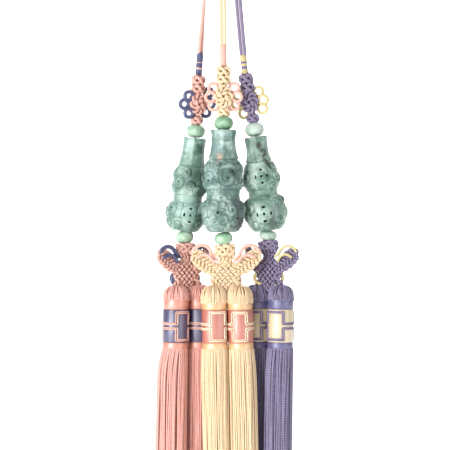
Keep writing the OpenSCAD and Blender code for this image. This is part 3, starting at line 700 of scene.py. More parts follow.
# Columns as in a turner's drawing: neck top, waist and foot radius, neck waist z, neck foot z,
# upper bulb radius and z, belt radius, belt top and end z, lower bulb radius and z, foot radius
GOURDS = {
    "pink": (6.2, 5.7, 7.2, -6, -15, 9.2, -25.3, 8.1, -31, -35, 10.7, -41, 6),
    "cream": (6.8, 6.2, 8, -6.2, -15.5, 10.6, -27.8, 9.2, -32, -37.4, 11.7, -43.6, 6.3),
    "violet": (6.0, 5.7, 7.1, -8, -13.4, 9.8, -23.7, 8.1, -28.8, -32, 11.4, -41.2, 6),
}
# Angle to the right of the front, z, radius and winding of each scroll, repeated behind
SCROLLS = {
    "pink": [
        (-13, -19, 2.7, 1), (-38, -24.2, 3.1, -1), (34, -28, 2.5, 1), (62, -21, 2.6, -1),
        (8, -25.5, 2.3, -1), (-48, -38.5, 3.2, -1), (-62, -46, 2.6, 1), (-18, -37.2, 1.7, 1),
        (-22, -47.3, 2.1, 1), (52, -38.5, 2.4, 1), (50, -45.5, 2.3, -1), (85, -41, 2.8, 1),
        (-80, -20, 2.4, 1), (-68, -28, 2.2, -1), (80, -27.5, 2.2, 1)],
    "cream": [
        (12, -25.5, 4.2, -1), (-22, -19.5, 2.3, 1), (-46, -25.5, 3, 1), (58, -25, 2.9, 1),
        (22, -18.6, 1.8, 1), (40, -20.4, 1.6, -1), (-18, -29.8, 1.9, -1), (82, -20, 2.3, -1),
        (-76, -20.5, 2.4, -1), (86, -28.5, 2.2, 1), (-78, -28.6, 2.2, 1), (24, -42.5, 3.3, -1),
        (-26, -40.6, 2.9, 1), (2, -48, 2.5, 1), (60, -44.5, 2.8, 1), (-60, -44, 3, -1),
        (0, -40, 1.8, -1), (-28, -47.2, 2.1, -1), (36, -49.3, 1.9, 1), (-88, -41, 2.4, 1),
        (88, -41, 2.2, -1), (48, -38.9, 1.5, 1), (-47, -38.9, 1.5, -1), (-62, -50.3, 1.8, 1)],
    "violet": [
        (58, -21.5, 2.7, -1), (-58, -21.5, 2.7, 1), (38, -27.2, 1.7, 1), (-38, -27.2, 1.7, -1),
        (46, -36, 2.2, 1), (-50, -38, 2.9, -1), (42, -46.5, 2.5, -1), (-40, -47.4, 2.1, 1),
        (76, -41.5, 2.8, 1), (-82, -42.5, 2.6, 1), (84, -24, 2.2, 1), (-86, -23, 2.2, -1),
        (-78, -34.6, 1.6, 1), (78, -34.6, 1.6, -1)],
}
# Angle, z, radius, pitch of the five holes and their radius
MEDALLIONS = {"pink": [(15, -41.4, 4.8, 3.1, 0.65)], "cream": [],
              "violet": [(0, -21.4, 4.6, 3.1, 0.65), (-6, -41.6, 5.0, 3.3, 0.72)]}
# A medallion's holes: how many pitches right and up, and how wide and tall for the radius
FIVE_HOLES = ((0, 0, 1, 1), (1, 0, 0.85, 1.6), (-1, 0, 0.85, 1.6), (0, 1.15, 1.4, 0.9),
              (0, -1.15, 1.4, 0.9))
# Single drill holes at the eyes of some scrolls: angle, z, radius
EYES = {"pink": [(-38, -24.2, 0.5), (-48, -38.5, 0.5)],
        "cream": [(-46, -27.2, 0.75), (12, -25.9, 0.5), (30, -22.2, 0.6), (-8, -36.2, 0.5),
                  (24, -42.6, 0.5), (-14, -44.2, 0.7), (44, -46.8, 0.6), (2, -48, 0.4)],
        "violet": [(-50, -38, 0.5)]}
# Size and height of the carved cloud ground between the scrolls
CLOUDS = {"pink": (3.2, 0.3), "cream": (1.7, 0.55), "violet": (3.6, 0.22)}
shell_t = 2.0
wall_clear = 0.2
rim_bevel = 0.3
belt_lip = 0.35
carving_top = 0.6             # the carving starts this far under the neck
around = 208
neck_sides = 8
bulb_r = 10                   # about a bulb's radius, where mm round it become degrees
drill_depth = 8
drill_out = 8.6               # the drill's middle from the gourd's axis
# Heights and depths of the relief, then the spiral's pitch and the moat's edge in the scroll's radii
scroll_h = 0.6
spiral_cut = 0.55
medallion_h = 0.45
moat_depth = 0.45
spiral_pitch = 0.68
moat_end = 1.35
darkest = 0.95                # shade of the deepest cuts
gourd_jade = {
    "pink": polished_jade("sage jade", "AEC6BA", "82A195", "567569", 10, 0.2, [
        ((-11.4, 4.5, -138.5), 4.5, "3F594D"), ((-15.3, 1.5, -154), 6.5, "4A6157"),
        ((-12.5, 3, -146), 5, "5F7F72"), ((-20, 3, -170), 8, "A3C1BA"), ((-10.5, 4, -163), 5, "3F5A4E"),
        ((-17.5, 2.5, -135.5), 5, "AECBC0"), ((-13, 3, -180), 6, "4F6B5E")], 0.4),
    "cream": polished_jade("grey-green jade", "A6BBB4", "79958D", "4C6963", 8, 0.55, [
        ((-1.6, -8.5, -142.4), 3.4, "C3A78F"), ((6, -9, -150.5), 3.4, "43554D"),
        ((9.5, -6, -169), 7, "5B6367"), ((9, -6, -177), 6, "494D4E"), ((-5.5, -5, -138), 4.5, "6F8C8C"),
        ((3, -10, -160.5), 5.5, "57706C"), ((-7, -9, -174), 6, "9FB6AE"), ((-2, -11, -165), 4, "A9BFB8"),
        ((-6, -9, -151), 4.5, "93ACA8"), ((-1, -10, -147), 3, "4F665F"), ((6, -9, -184), 4, "6B5F50")], 0.6),
    "violet": polished_jade("mist jade", "ABC1B6", "7E9D90", "4D6D60", 9, 1.15, [
        ((19.9, 2.2, -136.4), 1.9, "3A2E22"), ((23.6, 3.4, -139.4), 2.4, "2B3A35"),
        ((21.1, 2.5, -138.8), 1.9, "2A2B24"), ((22.1, 2.9, -141.4), 2.0, "1D211C"),
        ((23.1, 3.0, -144), 2.1, "171915"), ((24.2, 1.6, -146.4), 2.4, "120F0D"),
        ((25.6, 1.5, -148.4), 2.0, "1E1610"), ((17.4, 1, -142.5), 3.6, "46625A"),
        ((16.8, 0.5, -148.5), 3.6, "B9CBC2"), ((16.2, 0, -152.5), 3.6, "BDCEC6"),
        ((16.6, 0, -156.5), 3.4, "B9CBC2"), ((17.2, -2, -169.5), 4, "B7C9C0"),
        ((17.0, -2.5, -174), 4, "B7C9C0"), ((17.8, -2, -178), 3.6, "B0C4BA"),
        ((27.5, -1, -171), 5, "80958F"), ((27, -1.5, -178), 5, "4A5A55"),
        ((19.5, 1.5, -132.5), 3, "536E66")], 0.45),
}


def swell(r0, z0, r1, z1, count):
    """A quarter of a bulb from its narrow top down to its widest."""
    quarter = [math.pi / 2 * i / count for i in range(count + 1)]
    return [(r0 + (r1 - r0) * math.sin(a), z1 + (z0 - z1) * math.cos(a), 0) for a in quarter]


def shrink(r1, z1, r2, z2, count):
    """A quarter of a bulb from its widest down to its narrow end."""
    quarter = [math.pi / 2 * i / count for i in range(1, count + 1)]
    return [(r2 + (r1 - r2) * math.cos(a), z1 + (z2 - z1) * math.sin(a), 0) for a in quarter]


def gourd_profile(row, h):
    """The outer line from top rim to foot. The third number is the share of the neck's flats."""
    (top_r, waist_r, neck_foot_r, waist_z, neck_foot_z, upper_r, upper_z, belt_r, belt_top, belt_end,
     lower_r, lower_z, foot_r) = row
    line = [(top_r - rim_bevel, 0, 1), (top_r - 0.06, -0.1, 1), (top_r, -0.4, 1)]
    for k in range(1, 25):
        t = k / 24
        z = -0.4 + (neck_foot_z + 1.1) * t
        s = z / waist_z
        r = top_r + (waist_r - top_r) * (1 - (1 - min(s, 1)) ** 2)
        if s > 1:
            r += (neck_foot_r - waist_r) * ((z - waist_z) / (neck_foot_z - waist_z)) ** 1.8
        line.append((r, z, 1))
    ledge_r = neck_foot_r * 0.93
    line += [(neck_foot_r * 0.985, neck_foot_z + 0.35, 1), (ledge_r, neck_foot_z, 0.5),
             (ledge_r, neck_foot_z - 0.25, 0)]
    line += swell(neck_foot_r * 0.96, neck_foot_z - 0.5, upper_r, upper_z, 26)
    line += shrink(upper_r, upper_z, belt_r + 0.35, belt_top + 0.2, 13)
    line += [(belt_r - 0.15, belt_top, 0), (belt_r - 0.1, belt_top - belt_lip, 0)]
    steps = max(4, round((belt_top - belt_end) / 0.45))
    for k in range(1, steps):
        line.append((belt_r - 0.25 * math.sin(math.pi * k / steps),
                     belt_top - belt_lip + (belt_end - belt_top + 2 * belt_lip) * k / steps, 0))
    line += [(belt_r - 0.15, belt_end + 0.2, 0)]
    line += swell(belt_r + 0.25, belt_end - 0.1, lower_r, lower_z, 17)
    line += shrink(lower_r, lower_z, foot_r, -h, 30)
    return line


def carve(strand, angle, z, r, on_bulb):
    """Height of the relief and depth of shade at a place on a gourd's bulbs. A scroll is a dome with
    a spiral cut into it and a moat round it, and a medallion is a lower dome."""
    best, height, hollow = moat_end, 0.0, 0.0
    for back in (0, 180):
        for a, mz, reach, wind in SCROLLS[strand] + [(m[0], m[1], m[2], 0) for m in MEDALLIONS[strand]]:
            across = (angle - a - back + 180) % 360 - 180
            if abs(across) > 60 or abs(z - mz) > reach * 1.4:
                continue
            x, y = math.radians(across) * r, z - mz
            d = math.hypot(x, y)
            s = d / reach
            if s >= best:
                continue
            best = s
            if s < 1:
                dome = 1 - s ** 8
                if wind:
                    turns = d / (reach * spiral_pitch) - wind * math.atan2(y, x) / (2 * math.pi) + 0.1
                    cut = max(0.0, 1 - abs((turns % 1) - 0.5) / 0.3) if s > 0.12 else 0.0
                    cut *= min(1, (1 - s) / 0.2)
                    # Painted shade in the spiral's cut
                    height, hollow = scroll_h * dome - spiral_cut * cut, darkest * cut
                else:
                    height, hollow = medallion_h * (1 - s ** 4), 0.0
            else:
                # Painted shade in the moat round the scroll
                moat = min(1, (s - 1) / 0.12) * (moat_end - s) / 0.23 * (1.0 if wind else 0.4)
                height, hollow = -moat_depth * moat, darkest * min(1, 1.6 * moat)
    if best >= 1.25:
        turn = math.radians(angle)
        size, cloud_h = CLOUDS[strand]
        lump = noise.noise(Vector((r * math.sin(turn), r * math.cos(turn), z)) / size)
        # Painted shade in the low ground between the clouds
        height, hollow = cloud_h * lump - 0.15, min(1, max(0.0, -3.2 * cloud_h * lump))
    return height * on_bulb, hollow * on_bulb


for strand in STRANDS:
    (top_r, _, neck_foot_r, _, neck_foot_z, upper_r, upper_z, belt_r, belt_top, belt_end,
     lower_r, lower_z, foot_r) = GOURDS[strand]
    _, top, end, _ = DROPS[strand]
    h = (on_line(strand, end) - on_line(strand, top)).length - 0.2
    outer = gourd_profile(GOURDS[strand], h)
    wall = shell_t + wall_clear
    inner = [(bore_r, -h), (bore_r, -h + wall), (foot_r - 1.5, -h + wall), (lower_r - wall, lower_z),
             (belt_r - wall, (belt_top + belt_end) / 2), (upper_r - wall, upper_z),
             (neck_foot_r - wall, neck_foot_z - wall), (bore_r, neck_foot_z - wall), (bore_r, 0),
             (top_r - rim_bevel, 0)]
    line = outer + [(r, z, 0) for r, z in inner]
    bm = bmesh.new()
    # The carving's mask of painted shade
    shade = bm.verts.layers.float.new("hollow")
    made = bmesh.ops.create_grid(bm, x_segments=around, y_segments=len(line) - 1, size=0.5)["verts"]
    for j, (r, z, flats) in enumerate(line):
        carved = 2 < j < len(outer) and z < neck_foot_z - carving_top
        before, after = line[max(j - 1, 0)], line[min(j + 1, len(line) - 1)]
        normal = Vector((before[1] - after[1], after[0] - before[0])).normalized()
        calm = 0.0
        if carved:
            calm = min(1, (neck_foot_z - carving_top - z) / 1.2)
            calm *= min(1, max(0, abs(z - belt_top) - 0.2) / 0.6)
            calm *= min(1, max(0, abs(z - belt_end) - 0.1) / 0.5) * min(1, (z + h) / 1.5)
            calm *= 0.35 if belt_end < z < belt_top else 1.0
        for i in range(around + 1):
            angle = 360 * (i % around) / around
            vertex = made[j * (around + 1) + i]
            r_here, z_here = r, z
            if flats:
                a = angle % (360 / neck_sides) - 180 / neck_sides
                flat_r = r * 0.965 / math.cos(math.radians(a))
                r_here = r + (min(flat_r, r * 1.03) - r) * flats
            if carved and calm > 0:
                height, hollow = carve(strand, (angle + 180) % 360 - 180, z, r, calm)
                r_here += normal.x * height
                z_here += normal.y * height
                vertex[shade] = min(1, max(0, hollow))
            # Painted shade under the neck's ledge and at the belt's top edge
            if neck_foot_z - 0.4 < z < neck_foot_z + 0.3 or abs(z - belt_top) < 0.3 and j < len(outer):
                vertex[shade] = 0.6
            turn_to = math.radians(angle)
            vertex.co = (r_here * math.sin(turn_to), -r_here * math.cos(turn_to), z_here)
    place = hung(strand, top, (top + end) / 2)
    bmesh.ops.transform(bm, matrix=place, verts=bm.verts)
    gourd = hang(bm, f"{strand}_carved_gourd", [gourd_jade[strand]], f"{strand}_gourd")

    drill = bmesh.new()
    for back in (0, 180):
        holes = [(a, z, r, 1, 1) for a, z, r in EYES[strand]]
        for a, z, _, hole_pitch, hole_r in MEDALLIONS[strand]:
            for x, y, wide, tall in FIVE_HOLES:
                holes.append((a + math.degrees(x * hole_pitch / bulb_r), z + y * hole_pitch,
                              hole_r, wide, tall))
        for a, z, r, wide, tall in holes:
            aim = Matrix.Rotation(math.radians(a + back), 4, "Z") @ Matrix.Rotation(math.radians(90), 4, "X")
            bit = bmesh.ops.create_cone(drill, cap_ends=True, segments=14, radius1=r, radius2=r,
                                        depth=drill_depth)["verts"]
            aimed = (place @ Matrix.Translation((0, 0, z)) @ aim @ Matrix.Translation((0, 0, drill_out))
                     @ Matrix.Diagonal((wide, tall, 1, 1)))
            bmesh.ops.transform(drill, matrix=aimed, verts=bit)
    bmesh.ops.scale(drill, vec=(MM, MM, MM), verts=drill.verts)
    drill_mesh = bpy.data.meshes.new("drill bits")
    drill.to_mesh(drill_mesh)
    drill.free()
    bits = bpy.data.objects.new("drill_bits", drill_mesh)
    scene.collection.objects.link(bits)
    cut = gourd.modifiers.new("drilled holes", "BOOLEAN")
    cut.object = bits
    cut.operation = "DIFFERENCE"
    cut.solver = "EXACT"
    bpy.context.view_layer.update()
    drilled = bpy.data.meshes.new_from_object(gourd.evaluated_get(bpy.context.evaluated_depsgraph_get()))
    gourd.modifiers.remove(cut)
    whole = gourd.data
    gourd.data = drilled
    bpy.data.meshes.remove(whole)
    bpy.data.objects.remove(bits)
    bpy.data.meshes.remove(drill_mesh)

# Collar knots
# A wider barrel of the same weave, drawn flat, gathers the cords at the head of each butterfly
# knot. It is tied in the same plaited silk and holds the thread of the beads.

# Columns: collar end, butterfly's middle, head tops of its tassels
BUTTERFLIES = {"pink": (-194.4, -204.6, -211.8), "cream": (-195.4, -205.4, -211.7),
               "violet": (-192.8, -204.2, -211.5)}
# How far each lattice, left wing and right wing is turned, in degrees
TURNS = {"pink": (26, 12, 34), "cream": (0, 0, 0), "violet": (-30, -26, -4)}
for strand in STRANDS:
    top, end = DROPS[strand][3], BUTTERFLIES[strand][0]
    bm = bmesh.new()
    barrel_knot(bm, hung(strand, top - 0.35, (top + end) / 2, TURNS[strand][0] / 2),
                width=11.0, depth=6.2, height=top - end - 0.2, leads=3, bights=7, radius=1.03)
    hang(bm, f"{strand}_wide_knot", [silk[strand]], f"{strand}_collar_knot", reach=1.9)

# Butterfly knots
# A diamond lattice of five cords each way, with a leaf-shaped wing plaited from five cords on either
# side. Cords cross down into it from the collar, and two short ones leave it for each tassel.

# Place of the left and right tassel's head: x, y, degrees leant to the right and to the back
HEADS = {"pink": ((-24.6, 5.5, -1, 0), (-12.4, 11.8, 0, 1)),
         "cream": ((-4.3, 0, 1.1, 0), (9.3, 0, 1.4, 0)),
         "violet": ((19.3, 10.8, 0.5, 1.5), (31.6, 2, -0.8, 0))}
half_side = 5.8
lattice_slope = math.atan2(8.8, 7.5)
lattice_pitch = 2.23
knot_r = 0.93
strand_r = 0.86
root_x = 6.4
WING_SPINE = [(4.6, 1.2), (7.5, 3.6), (10.9, 6.1), (14, 8.2), (16.7, 9.9)]
WING_OUTLINE = [(7, 0.2), (9.8, 0.8), (13.4, 2.6), (16.7, 5.6), (18.1, 9.2), (17.5, 12), (15.4, 12.8),
                (12.4, 12), (9.6, 10), (7.4, 7.2), (6, 4.2)]
rim_waves = 11


def lattice_point(s, t, depth):
    """A place in the lattice from how far it lies up to the right and up to the left."""
    return Vector(((s - t) * math.cos(lattice_slope), depth, (s + t) * math.sin(lattice_slope)))


def on_butterfly(strand):
    """The frame of a butterfly knot, with its lattice's middle at the origin."""
    middle = on_line(strand, BUTTERFLIES[strand][1])
    return Matrix.Translation(middle) @ Matrix.Rotation(math.radians(TURNS[strand][0]), 4, "Z")


def on_wing(strand, side):
    """The frame of a wing, turned back or forward about its root."""
    degrees = side * TURNS[strand][1 + (side > 0)]
    return (Matrix.Diagonal((side, 1, 1, 1)) @ Matrix.Translation((root_x, 0, 0))
            @ Matrix.Rotation(math.radians(degrees), 4, "Z") @ Matrix.Translation((-root_x, 0, 0)))


for strand in STRANDS:
    end, z, head_top = BUTTERFLIES[strand]
    middle = on_butterfly(strand)
    bm = bmesh.new()
    for way in (1, -1):
        line = []
        for i in range(-2, 3):
            run = [-half_side + k * lattice_pitch / 4 for k in range(22)]
            row = [(s, i * lattice_pitch, 0.75 * math.cos(math.pi * (i + s / lattice_pitch)) * way)
                   for s in run]
            line += row if i % 2 == 0 else row[::-1]
            if i < 2:
                line.append(((half_side + 0.95) * (1 if i % 2 == 0 else -1), (i + 0.5) * lattice_pitch, 0))
        line = [lattice_point(s, t, over) if way > 0 else lattice_point(t, s, over) for s, t, over in line]
        lay_cord(bm, flow([middle @ point for point in line], 0.6), knot_r)
    high = end - z
    bottom = [(-2.9, -5.6), (-1.7, -8.2), (0, -9.9), (1.7, -8.2), (2.9, -5.6)]
    lay_cord(bm, flow([middle @ Vector((x, 0, h)) for x, h in bottom], 0.6), knot_r)
    for side in (-1, 1):
        for start_x in (-4.4, -2.5, -0.6):
            line = []
            for k in range(15):
                h = high + 0.4 - (high - 3.6) * k / 14
                over = -0.65 * side * math.cos(math.pi * (h - high + 0.9) / 0.95) * min(1, k / 2)
                line.append(middle @ Vector((side * (start_x + 5.6 * k / 14), over, h)))
            lay_cord(bm, line, knot_r)
        wing = middle @ on_wing(strand, side)
        spine = flow([(x, 0, h) for x, h in WING_SPINE], 0.3)
        for k in range(5):
            line = []
            for j, point in enumerate(spine):
                u = j / (len(spine) - 1)
                wide = 1.3 + 2.0 * math.sin(math.pi * min(1, u * 0.72 + 0.08)) ** 0.8
                phase = 2 * math.pi * (1.35 * u + k / 5)
                across = Vector((0.64, 0, -0.77)) * wide * math.cos(phase)
                line.append(wing @ (point + across + Vector((0, 0.62 * math.sin(4 * phase), 0))))
            lay_cord(bm, line, strand_r)
        rim = []
        outline = flow([(x, 0, h) for x, h in WING_OUTLINE], 0.7, closed=True)[:-1]
        for k, point in enumerate(outline):
            out = (point - Vector((12, 0, 7))).normalized()
            wave = 2 * math.pi * rim_waves * k / len(outline)
            sway = Vector((0, 0.4 * math.sin(wave + 1.3), 0))
            rim.append(wing @ (point - out * (0.45 - 0.22 * math.sin(wave)) + sway))
        lay_cord(bm, flow(rim, 0.6, closed=True), 0.9, closed=True)
        head_x, head_y, _, _ = HEADS[strand][side > 0]
        start = middle @ Vector((side * 4.4, 0, -2.4))
        finish = Vector((head_x, head_y, head_top + 0.9))
        for turn in (0, math.pi):
            line = []
            for k in range(13):
                a = turn + math.pi * 1.2 * k / 12
                line.append(start.lerp(finish, k / 12) + Vector((math.cos(a), math.sin(a), 0)) * 0.85)
            lay_cord(bm, line, 0.82)
    hang(bm, f"{strand}_woven_butterfly", [silk[strand]], f"{strand}_butterfly_knot",
         reach=1.9)

# Wrapped loops of the butterfly
# Cord wrapped with fine silk in the other colour: a high arc over each wing, a low one laid along the
# wing's upper front, and a small loop below that passes behind or before the tassel's cord.
OUTER_ARC = [(4.6, 7.6), (6.6, 9.4), (8, 12.2), (9.8, 14.6), (12.2, 15.7), (14.8, 15.3), (17.1, 13.6),
             (18.2, 11.6)]
INNER_ARC = [(6.8, 7), (8.2, 9.2), (10.4, 10.4), (13, 10.4), (15.2, 9.2)]
LOWER_ARC = [(7.7, -1.2), (8.4, -2.6), (8.1, -4.2), (6.8, -5.6), (5, -6.2), (3.6, -5.8), (3.0, -4.4)]
# How far each lower loop lies behind the lattice, left and right
LOOP_DEPTHS = {"pink": (1.9, 1.9), "cream": (1.9, 1.9), "violet": (-1.9, 1.9)}
ARC_R = {"pink": 1.15, "cream": 0.95, "violet": 0.8}
ARC_RISE = {"pink": 0.68, "cream": 1.0, "violet": 0.68}
ARC_SPAN = {"pink": 0.92, "cream": 1.0, "violet": 0.95}
LOWER_R = {"pink": WRAP_R["pink"] * 1.35, "cream": WRAP_R["cream"] * 1.1, "violet": WRAP_R["violet"] * 1.1}
arc_foot_h = 7.6
for strand in STRANDS:
    middle = on_butterfly(strand)
    rise, span = ARC_RISE[strand], ARC_SPAN[strand]
    bm = bmesh.new()
    for side, depth in zip((-1, 1), LOOP_DEPTHS[strand]):
        wing = middle @ on_wing(strand, side)
        high = [wing @ Vector((x * span, -1.5 * (1 - rise),
                               arc_foot_h + (h - arc_foot_h) * rise + 3 * (1 - rise)))
                for x, h in OUTER_ARC]
        lay_cord(bm, flow(high, 0.5), ARC_R[strand], sides=10)
        laid = [wing @ Vector((x, -2.1, h - 3 * (1 - rise))) for x, h in INNER_ARC]
        lay_cord(bm, flow(laid, 0.5), ARC_R[strand] * 0.9, sides=10)
        shown = LOWER_ARC if depth > 0 else LOWER_ARC[:5]
        low = [middle @ Vector((side * x * 0.9, depth, h)) for x, h in shown]
        lay_cord(bm, flow(low, 0.5), LOWER_R[strand], sides=10)
    hang(bm, f"{strand}_wrapped_loops", [thread[strand]], f"{strand}_butterfly_loops")

# Tassels
# Twisted silk strings are bent over the top into a dome of pleats, bound round with flat satin
# thread above and below the band, and hang below it as a long fringe.
head_r = 6.85
DOME_ENDS = {"pink": -7.1, "cream": -8.5, "violet": -7.4}
# How far each fringe spreads beyond its head, and how far it swings to the right, in mm
SPREADS = {"pink": ((1.2, -1.3), (0.7, 0.0)), "cream": ((0.4, -0.1), (0.6, 0.3)),
           "violet": ((0.6, 0.0), (0.5, -0.6))}
# Heights below the head's top
satin_end = -12.4
band_end = -29.9
foot_z = -33.9
fringe_end = -172.9
pleats = 54
dome_h = 5.3
strings = 44
string_r = 0.48
string_rows = 100
inner_strings = ((22, 5.6), (12, 3.6))      # how many hang on each inner ring, and its radius
random.seed(27)


def twisted_silk(name, lit, hollow, pitch=1.3):
    """A loosely twisted silk string: the backs of the plies take a painted highlight and the grooves
    between them painted shade. The twist of the finest strings is too fine to show, so all are drawn
    with this coarser pitch."""
    material, tree, shader = finish_named(name, {
        "Roughness": 0.45, "Specular IOR Level": 0.4,
        "Sheen Weight": 0.2, "Sheen Roughness": 0.35, "Sheen Tint": linear(lit)})
    place = put(tree, "SeparateXYZ", {0: put(tree, "UVMap", uv_map="cord")})
    along = put(tree, "Math", {0: place.outputs[1], 1: 1 / pitch}, operation="MULTIPLY")
    ply = put(tree, "Math", {0: place.outputs[0], 1: along}, operation="ADD")
    half_turn = put(tree, "Math", {0: ply, 1: 2 * math.pi}, operation="MULTIPLY")
    wave = put(tree, "Math", {0: half_turn}, operation="SINE")
    back = put(tree, "MapRange", {0: wave, 1: -1.0, 2: 0.4})
    cloud = put(tree, "TexNoise", {
        "Vector": put(tree, "TexCoord").outputs["Object"], "Scale": 1 / (2 * MM), "Detail": 2.0})
    tone = put(tree, "Math", {0: cloud, 1: back}, operation="MULTIPLY")
    tone = put(tree, "Math", {0: tone, 1: 0.75, 2: 0.4}, operation="MULTIPLY_ADD", use_clamp=True)
    # Painted light: the ply backs take the lit colour and the grooves the colour of painted shade, with
    # random tone from the noise
    colour = put(tree, "Mix", {0: tone, 6: linear(hollow), 7: linear(lit)}, data_type="RGBA")
    bump = put(tree, "Bump", {"Height": back, "Distance": 0.12 * MM, "Strength": 0.7})
    feed(tree, shader, {"Base Color": colour.outputs[2], "Normal": bump})
    return material


# Each string's lit colour, then the colour of painted shade in its grooves
string_silk = {
    "pink": twisted_silk("pink twisted silk", "F3BEB3", "BC7669"),
    "cream": twisted_silk("cream twisted silk", "F7E2C2", "C9A06B"),
    "violet": twisted_silk("violet twisted silk", "9990B0", "2F2848"),
}
# Each satin's lit colour, then the colour of painted shade in the grooves between its turns
satin = {
    "pink": wound_silk("pink satin silk", "D68B73", "C07059", 0.3, 1.0),
    "cream": wound_silk("cream satin silk", "E0B77F", "CC9555", 0.3, 1.0),
    "violet": wound_silk("violet satin silk", "5F5C8C", "3F3D6A", 0.3, 0.5),
}


def on_head(strand, side):
    """The frame of a tassel's head, with its top at the origin."""
    x, y, lean_right, lean_back = HEADS[strand][side]
    return (Matrix.Translation((x, y, BUTTERFLIES[strand][2]))
            @ Matrix.Rotation(math.radians(-lean_right), 4, "Y")
            @ Matrix.Rotation(math.radians(lean_back), 4, "X"))


def about(place, r, angle, z, across=0.0):
    """A point about a head's axis, at an angle to the right of its front."""
    return place @ Vector((r * math.sin(angle) + across, -r * math.cos(angle), z))


for strand in STRANDS:
    dome_end = DOME_ENDS[strand]
    for side, label in enumerate(("left", "right")):
        spread, swing = SPREADS[strand][side]
        place = on_head(strand, side)
        bm = bmesh.new()
        core = [(0.9 + 5.2 * math.sin(a) ** 0.7, -0.5 - dome_h * (1 - math.cos(a)))
                for a in (math.pi / 2 * j / 8 for j in range(9))]
        turned(bm, [(0, -0.5)] + core + [(6.3, dome_end - 0.4)], 40, place)
        for k in range(pleats):
            angle = 2 * math.pi * (k + random.uniform(-0.2, 0.2)) / pleats
            drift = random.uniform(-0.11, 0.11)
            low = dome_end + random.uniform(-0.45, 0.7)
            bulge = random.uniform(-0.12, 0.2)
            rise = random.uniform(-0.15, 0.45)
            line = []
            for j in range(11):
                a = math.pi / 2 * j / 10
                r = 1.1 + (5.55 + bulge) * math.sin(a) ** 0.7
                h = rise * (1 - j / 10) - dome_h * (1 - math.cos(a))
                line.append(about(place, r, angle + drift * math.sin(a * 2), h))
            for r, h in ((6.8 + bulge, (low - 5.5) / 2), (6.85 + bulge, low), (6.5, low - 0.35)):
                line.append(about(place, r, angle, h))
            lay_cord(bm, line, lambda u: 0.23 + 0.18 * min(1, u * 1.6), sides=6, flat=0.85,
                     frame_turn=random.uniform(0, 6), start=0.47 * k)
        for top, end in ((dome_end + 0.6, satin_end + 0.05), (band_end - 0.05, foot_z)):
            turned(bm, [(head_r - 0.9, top), (head_r - 0.25, top - 0.02), (head_r - 0.02, top - 0.3),
                        (head_r, (top + end) / 2), (head_r - 0.02, end + 0.25), (head_r - 0.3, end),
                        (head_r - 1.2, end - 0.02)], 64, place, 1)
        groups = [random.uniform(0, 2 * math.pi) for _ in range(9)]
        for k in range(strings):
            angle = 2 * math.pi * (k + random.uniform(-0.2, 0.2)) / strings
            nearest = min(groups, key=lambda g: abs(math.remainder(g - angle, 2 * math.pi)))
            pull = math.remainder(nearest - angle, 2 * math.pi) * random.uniform(0.04, 0.2)
            wave, phase = random.uniform(0.01, 0.035), random.uniform(0, 6)
            length = foot_z - fringe_end + random.uniform(-3, 0)
            out = random.uniform(-0.35, 0.3)
            line = []
            for j in range(string_rows):
                u = j / (string_rows - 1)
                settle = 1 - (1 - min(1, u * 8)) ** 2
                r = head_r - 0.3 + (spread + out) * settle + 0.15 * math.sin(phase + 7 * u)
                turn = angle + pull * settle + wave * math.sin(phase + 15 * u) * settle
                line.append(about(place, r, turn, foot_z + 0.6 - length * u, swing * settle))
            lay_cord(bm, line, string_r, sides=5, frame_turn=phase, start=0.53 * k)
        for k, ring_r in enumerate(ring_r for count, ring_r in inner_strings for _ in range(count)):
            angle = 2 * math.pi * k / 22 + random.uniform(-0.1, 0.1)
            length = foot_z - fringe_end + random.uniform(-4, 0)
            line = []
            for j in range(22):
                u = j / 21
                settle = min(1, 4 * u)
                r = ring_r + 0.9 * spread * settle + 0.2 * math.sin(k + 7 * u)
                line.append(about(place, r, angle, foot_z + 0.6 - length * u, swing * settle))
            lay_cord(bm, line, 0.85, sides=5)
        hang(bm, f"{strand}_{label}_silk_tassel", [string_silk[strand], satin[strand]],
             f"{strand}_{label}_tassel")

# Bands of the tassels
# A flat band of silk thread wound round each head. A fret of twisted cords, two side by side, is
# stitched on it: two mirrored lines that step round two rectangles on each head.
# Each fret cord's lit colour, then the colour of painted shade in its grooves
fret_cord = {
    "pink": twisted_silk("pink fret cord", "FBD0C0", "C98370", 1.1),
    "cream": twisted_silk("cream fret cord", "FFF3DC", "DDB887", 1.1),
    "violet": twisted_silk("violet fret cord", "8F84AE", "4B4468", 1.1),
}
# Each band's lit colour, then the colour of painted shade in the grooves between its turns
band_silk = {
    "pink": wound_silk("navy band silk", "362F66", "241E4C", 0.3, 0.8),
    "cream": wound_silk("pink band silk", "C4705B", "AC5846", 0.3, 1.0),
    "violet": wound_silk("pale yellow band silk", "DCCBAA", "C3AE84", 0.3, 0.6),
}
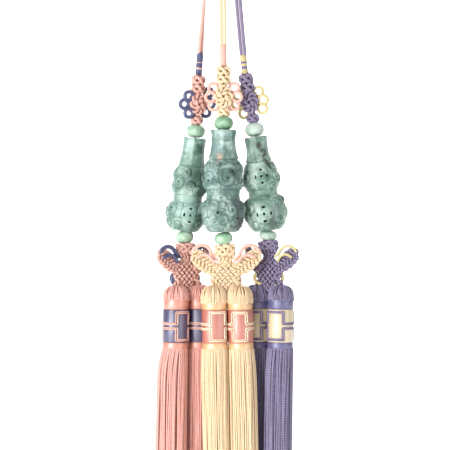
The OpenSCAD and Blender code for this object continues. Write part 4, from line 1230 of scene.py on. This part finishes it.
# Where each rectangle starts and ends, in degrees to the right of the front, and its rounding in mm
FRETS = {"pink": ((7, 75, 0.5), (48, 116, 0.5)), "cream": ((-16, 52, 0.5), (-35, 27, 2.2)),
         "violet": ((-62, 14, 0.5), (-75, 10, 0.5))}
# How far the fret's line keeps from the band's middle between the rectangles and round them
near_h = 1.25
far_h = 7.35
apart = 0.38
inner_r = head_r - 0.8
fret_r = head_r + 0.28
centre_z = (satin_end + band_end) / 2
for strand in STRANDS:
    for side, label in enumerate(("left", "right")):
        start, stop, rounding = FRETS[strand][side]
        place = on_head(strand, side)
        bm = bmesh.new()
        turned(bm, [(inner_r, satin_end), (head_r - 0.15, satin_end), (head_r + 0.02, satin_end - 0.2),
                    (head_r + 0.02, centre_z), (head_r + 0.02, band_end + 0.2),
                    (head_r - 0.15, band_end), (inner_r, band_end), (inner_r, satin_end)], 64, place)
        for mirror in (1, -1):
            for beside in (-apart, apart):
                near, far = near_h + beside, far_h + beside
                flat = []
                for half in (0, 180):
                    grow = math.degrees(beside * 1.35 / head_r)
                    left, right = start - grow + half, stop + grow + half
                    flat += [(left, near), (left, far), (right, far), (right, near)]
                line = []
                for (a0, z0), (a1, z1), (a2, z2) in zip(flat[-1:] + flat[:-1], flat, flat[1:] + flat[:1]):
                    before = Vector((math.remainder(a0 - a1, 360) * math.radians(head_r), z0 - z1))
                    after = Vector((math.remainder(a2 - a1, 360) * math.radians(head_r), z2 - z1))
                    for way, share in ((before, 1), (before, 0.35), (after, 0.35), (after, 1)):
                        step = way.normalized() * rounding * share
                        line.append((a1 + math.degrees(step.x / head_r), z1 + step.y))
                fine = []
                for (a0, z0), (a1, z1) in zip(line, line[1:] + line[:1]):
                    gap = math.remainder(a1 - a0, 360)
                    count = max(1, round(math.hypot(math.radians(gap) * head_r, z1 - z0) / 0.55))
                    for k in range(count):
                        h = z0 + (z1 - z0) * k / count
                        fine.append(about(place, fret_r, math.radians(a0 + gap * k / count),
                                          centre_z + mirror * h))
                lay_cord(bm, fine + fine[:1], 0.36, sides=6, flat=0.8, turn=2.2, closed=True, index=1)
        hang(bm, f"{strand}_{label}_fret_band", [band_silk[strand], fret_cord[strand]],
             f"{strand}_{label}_band")
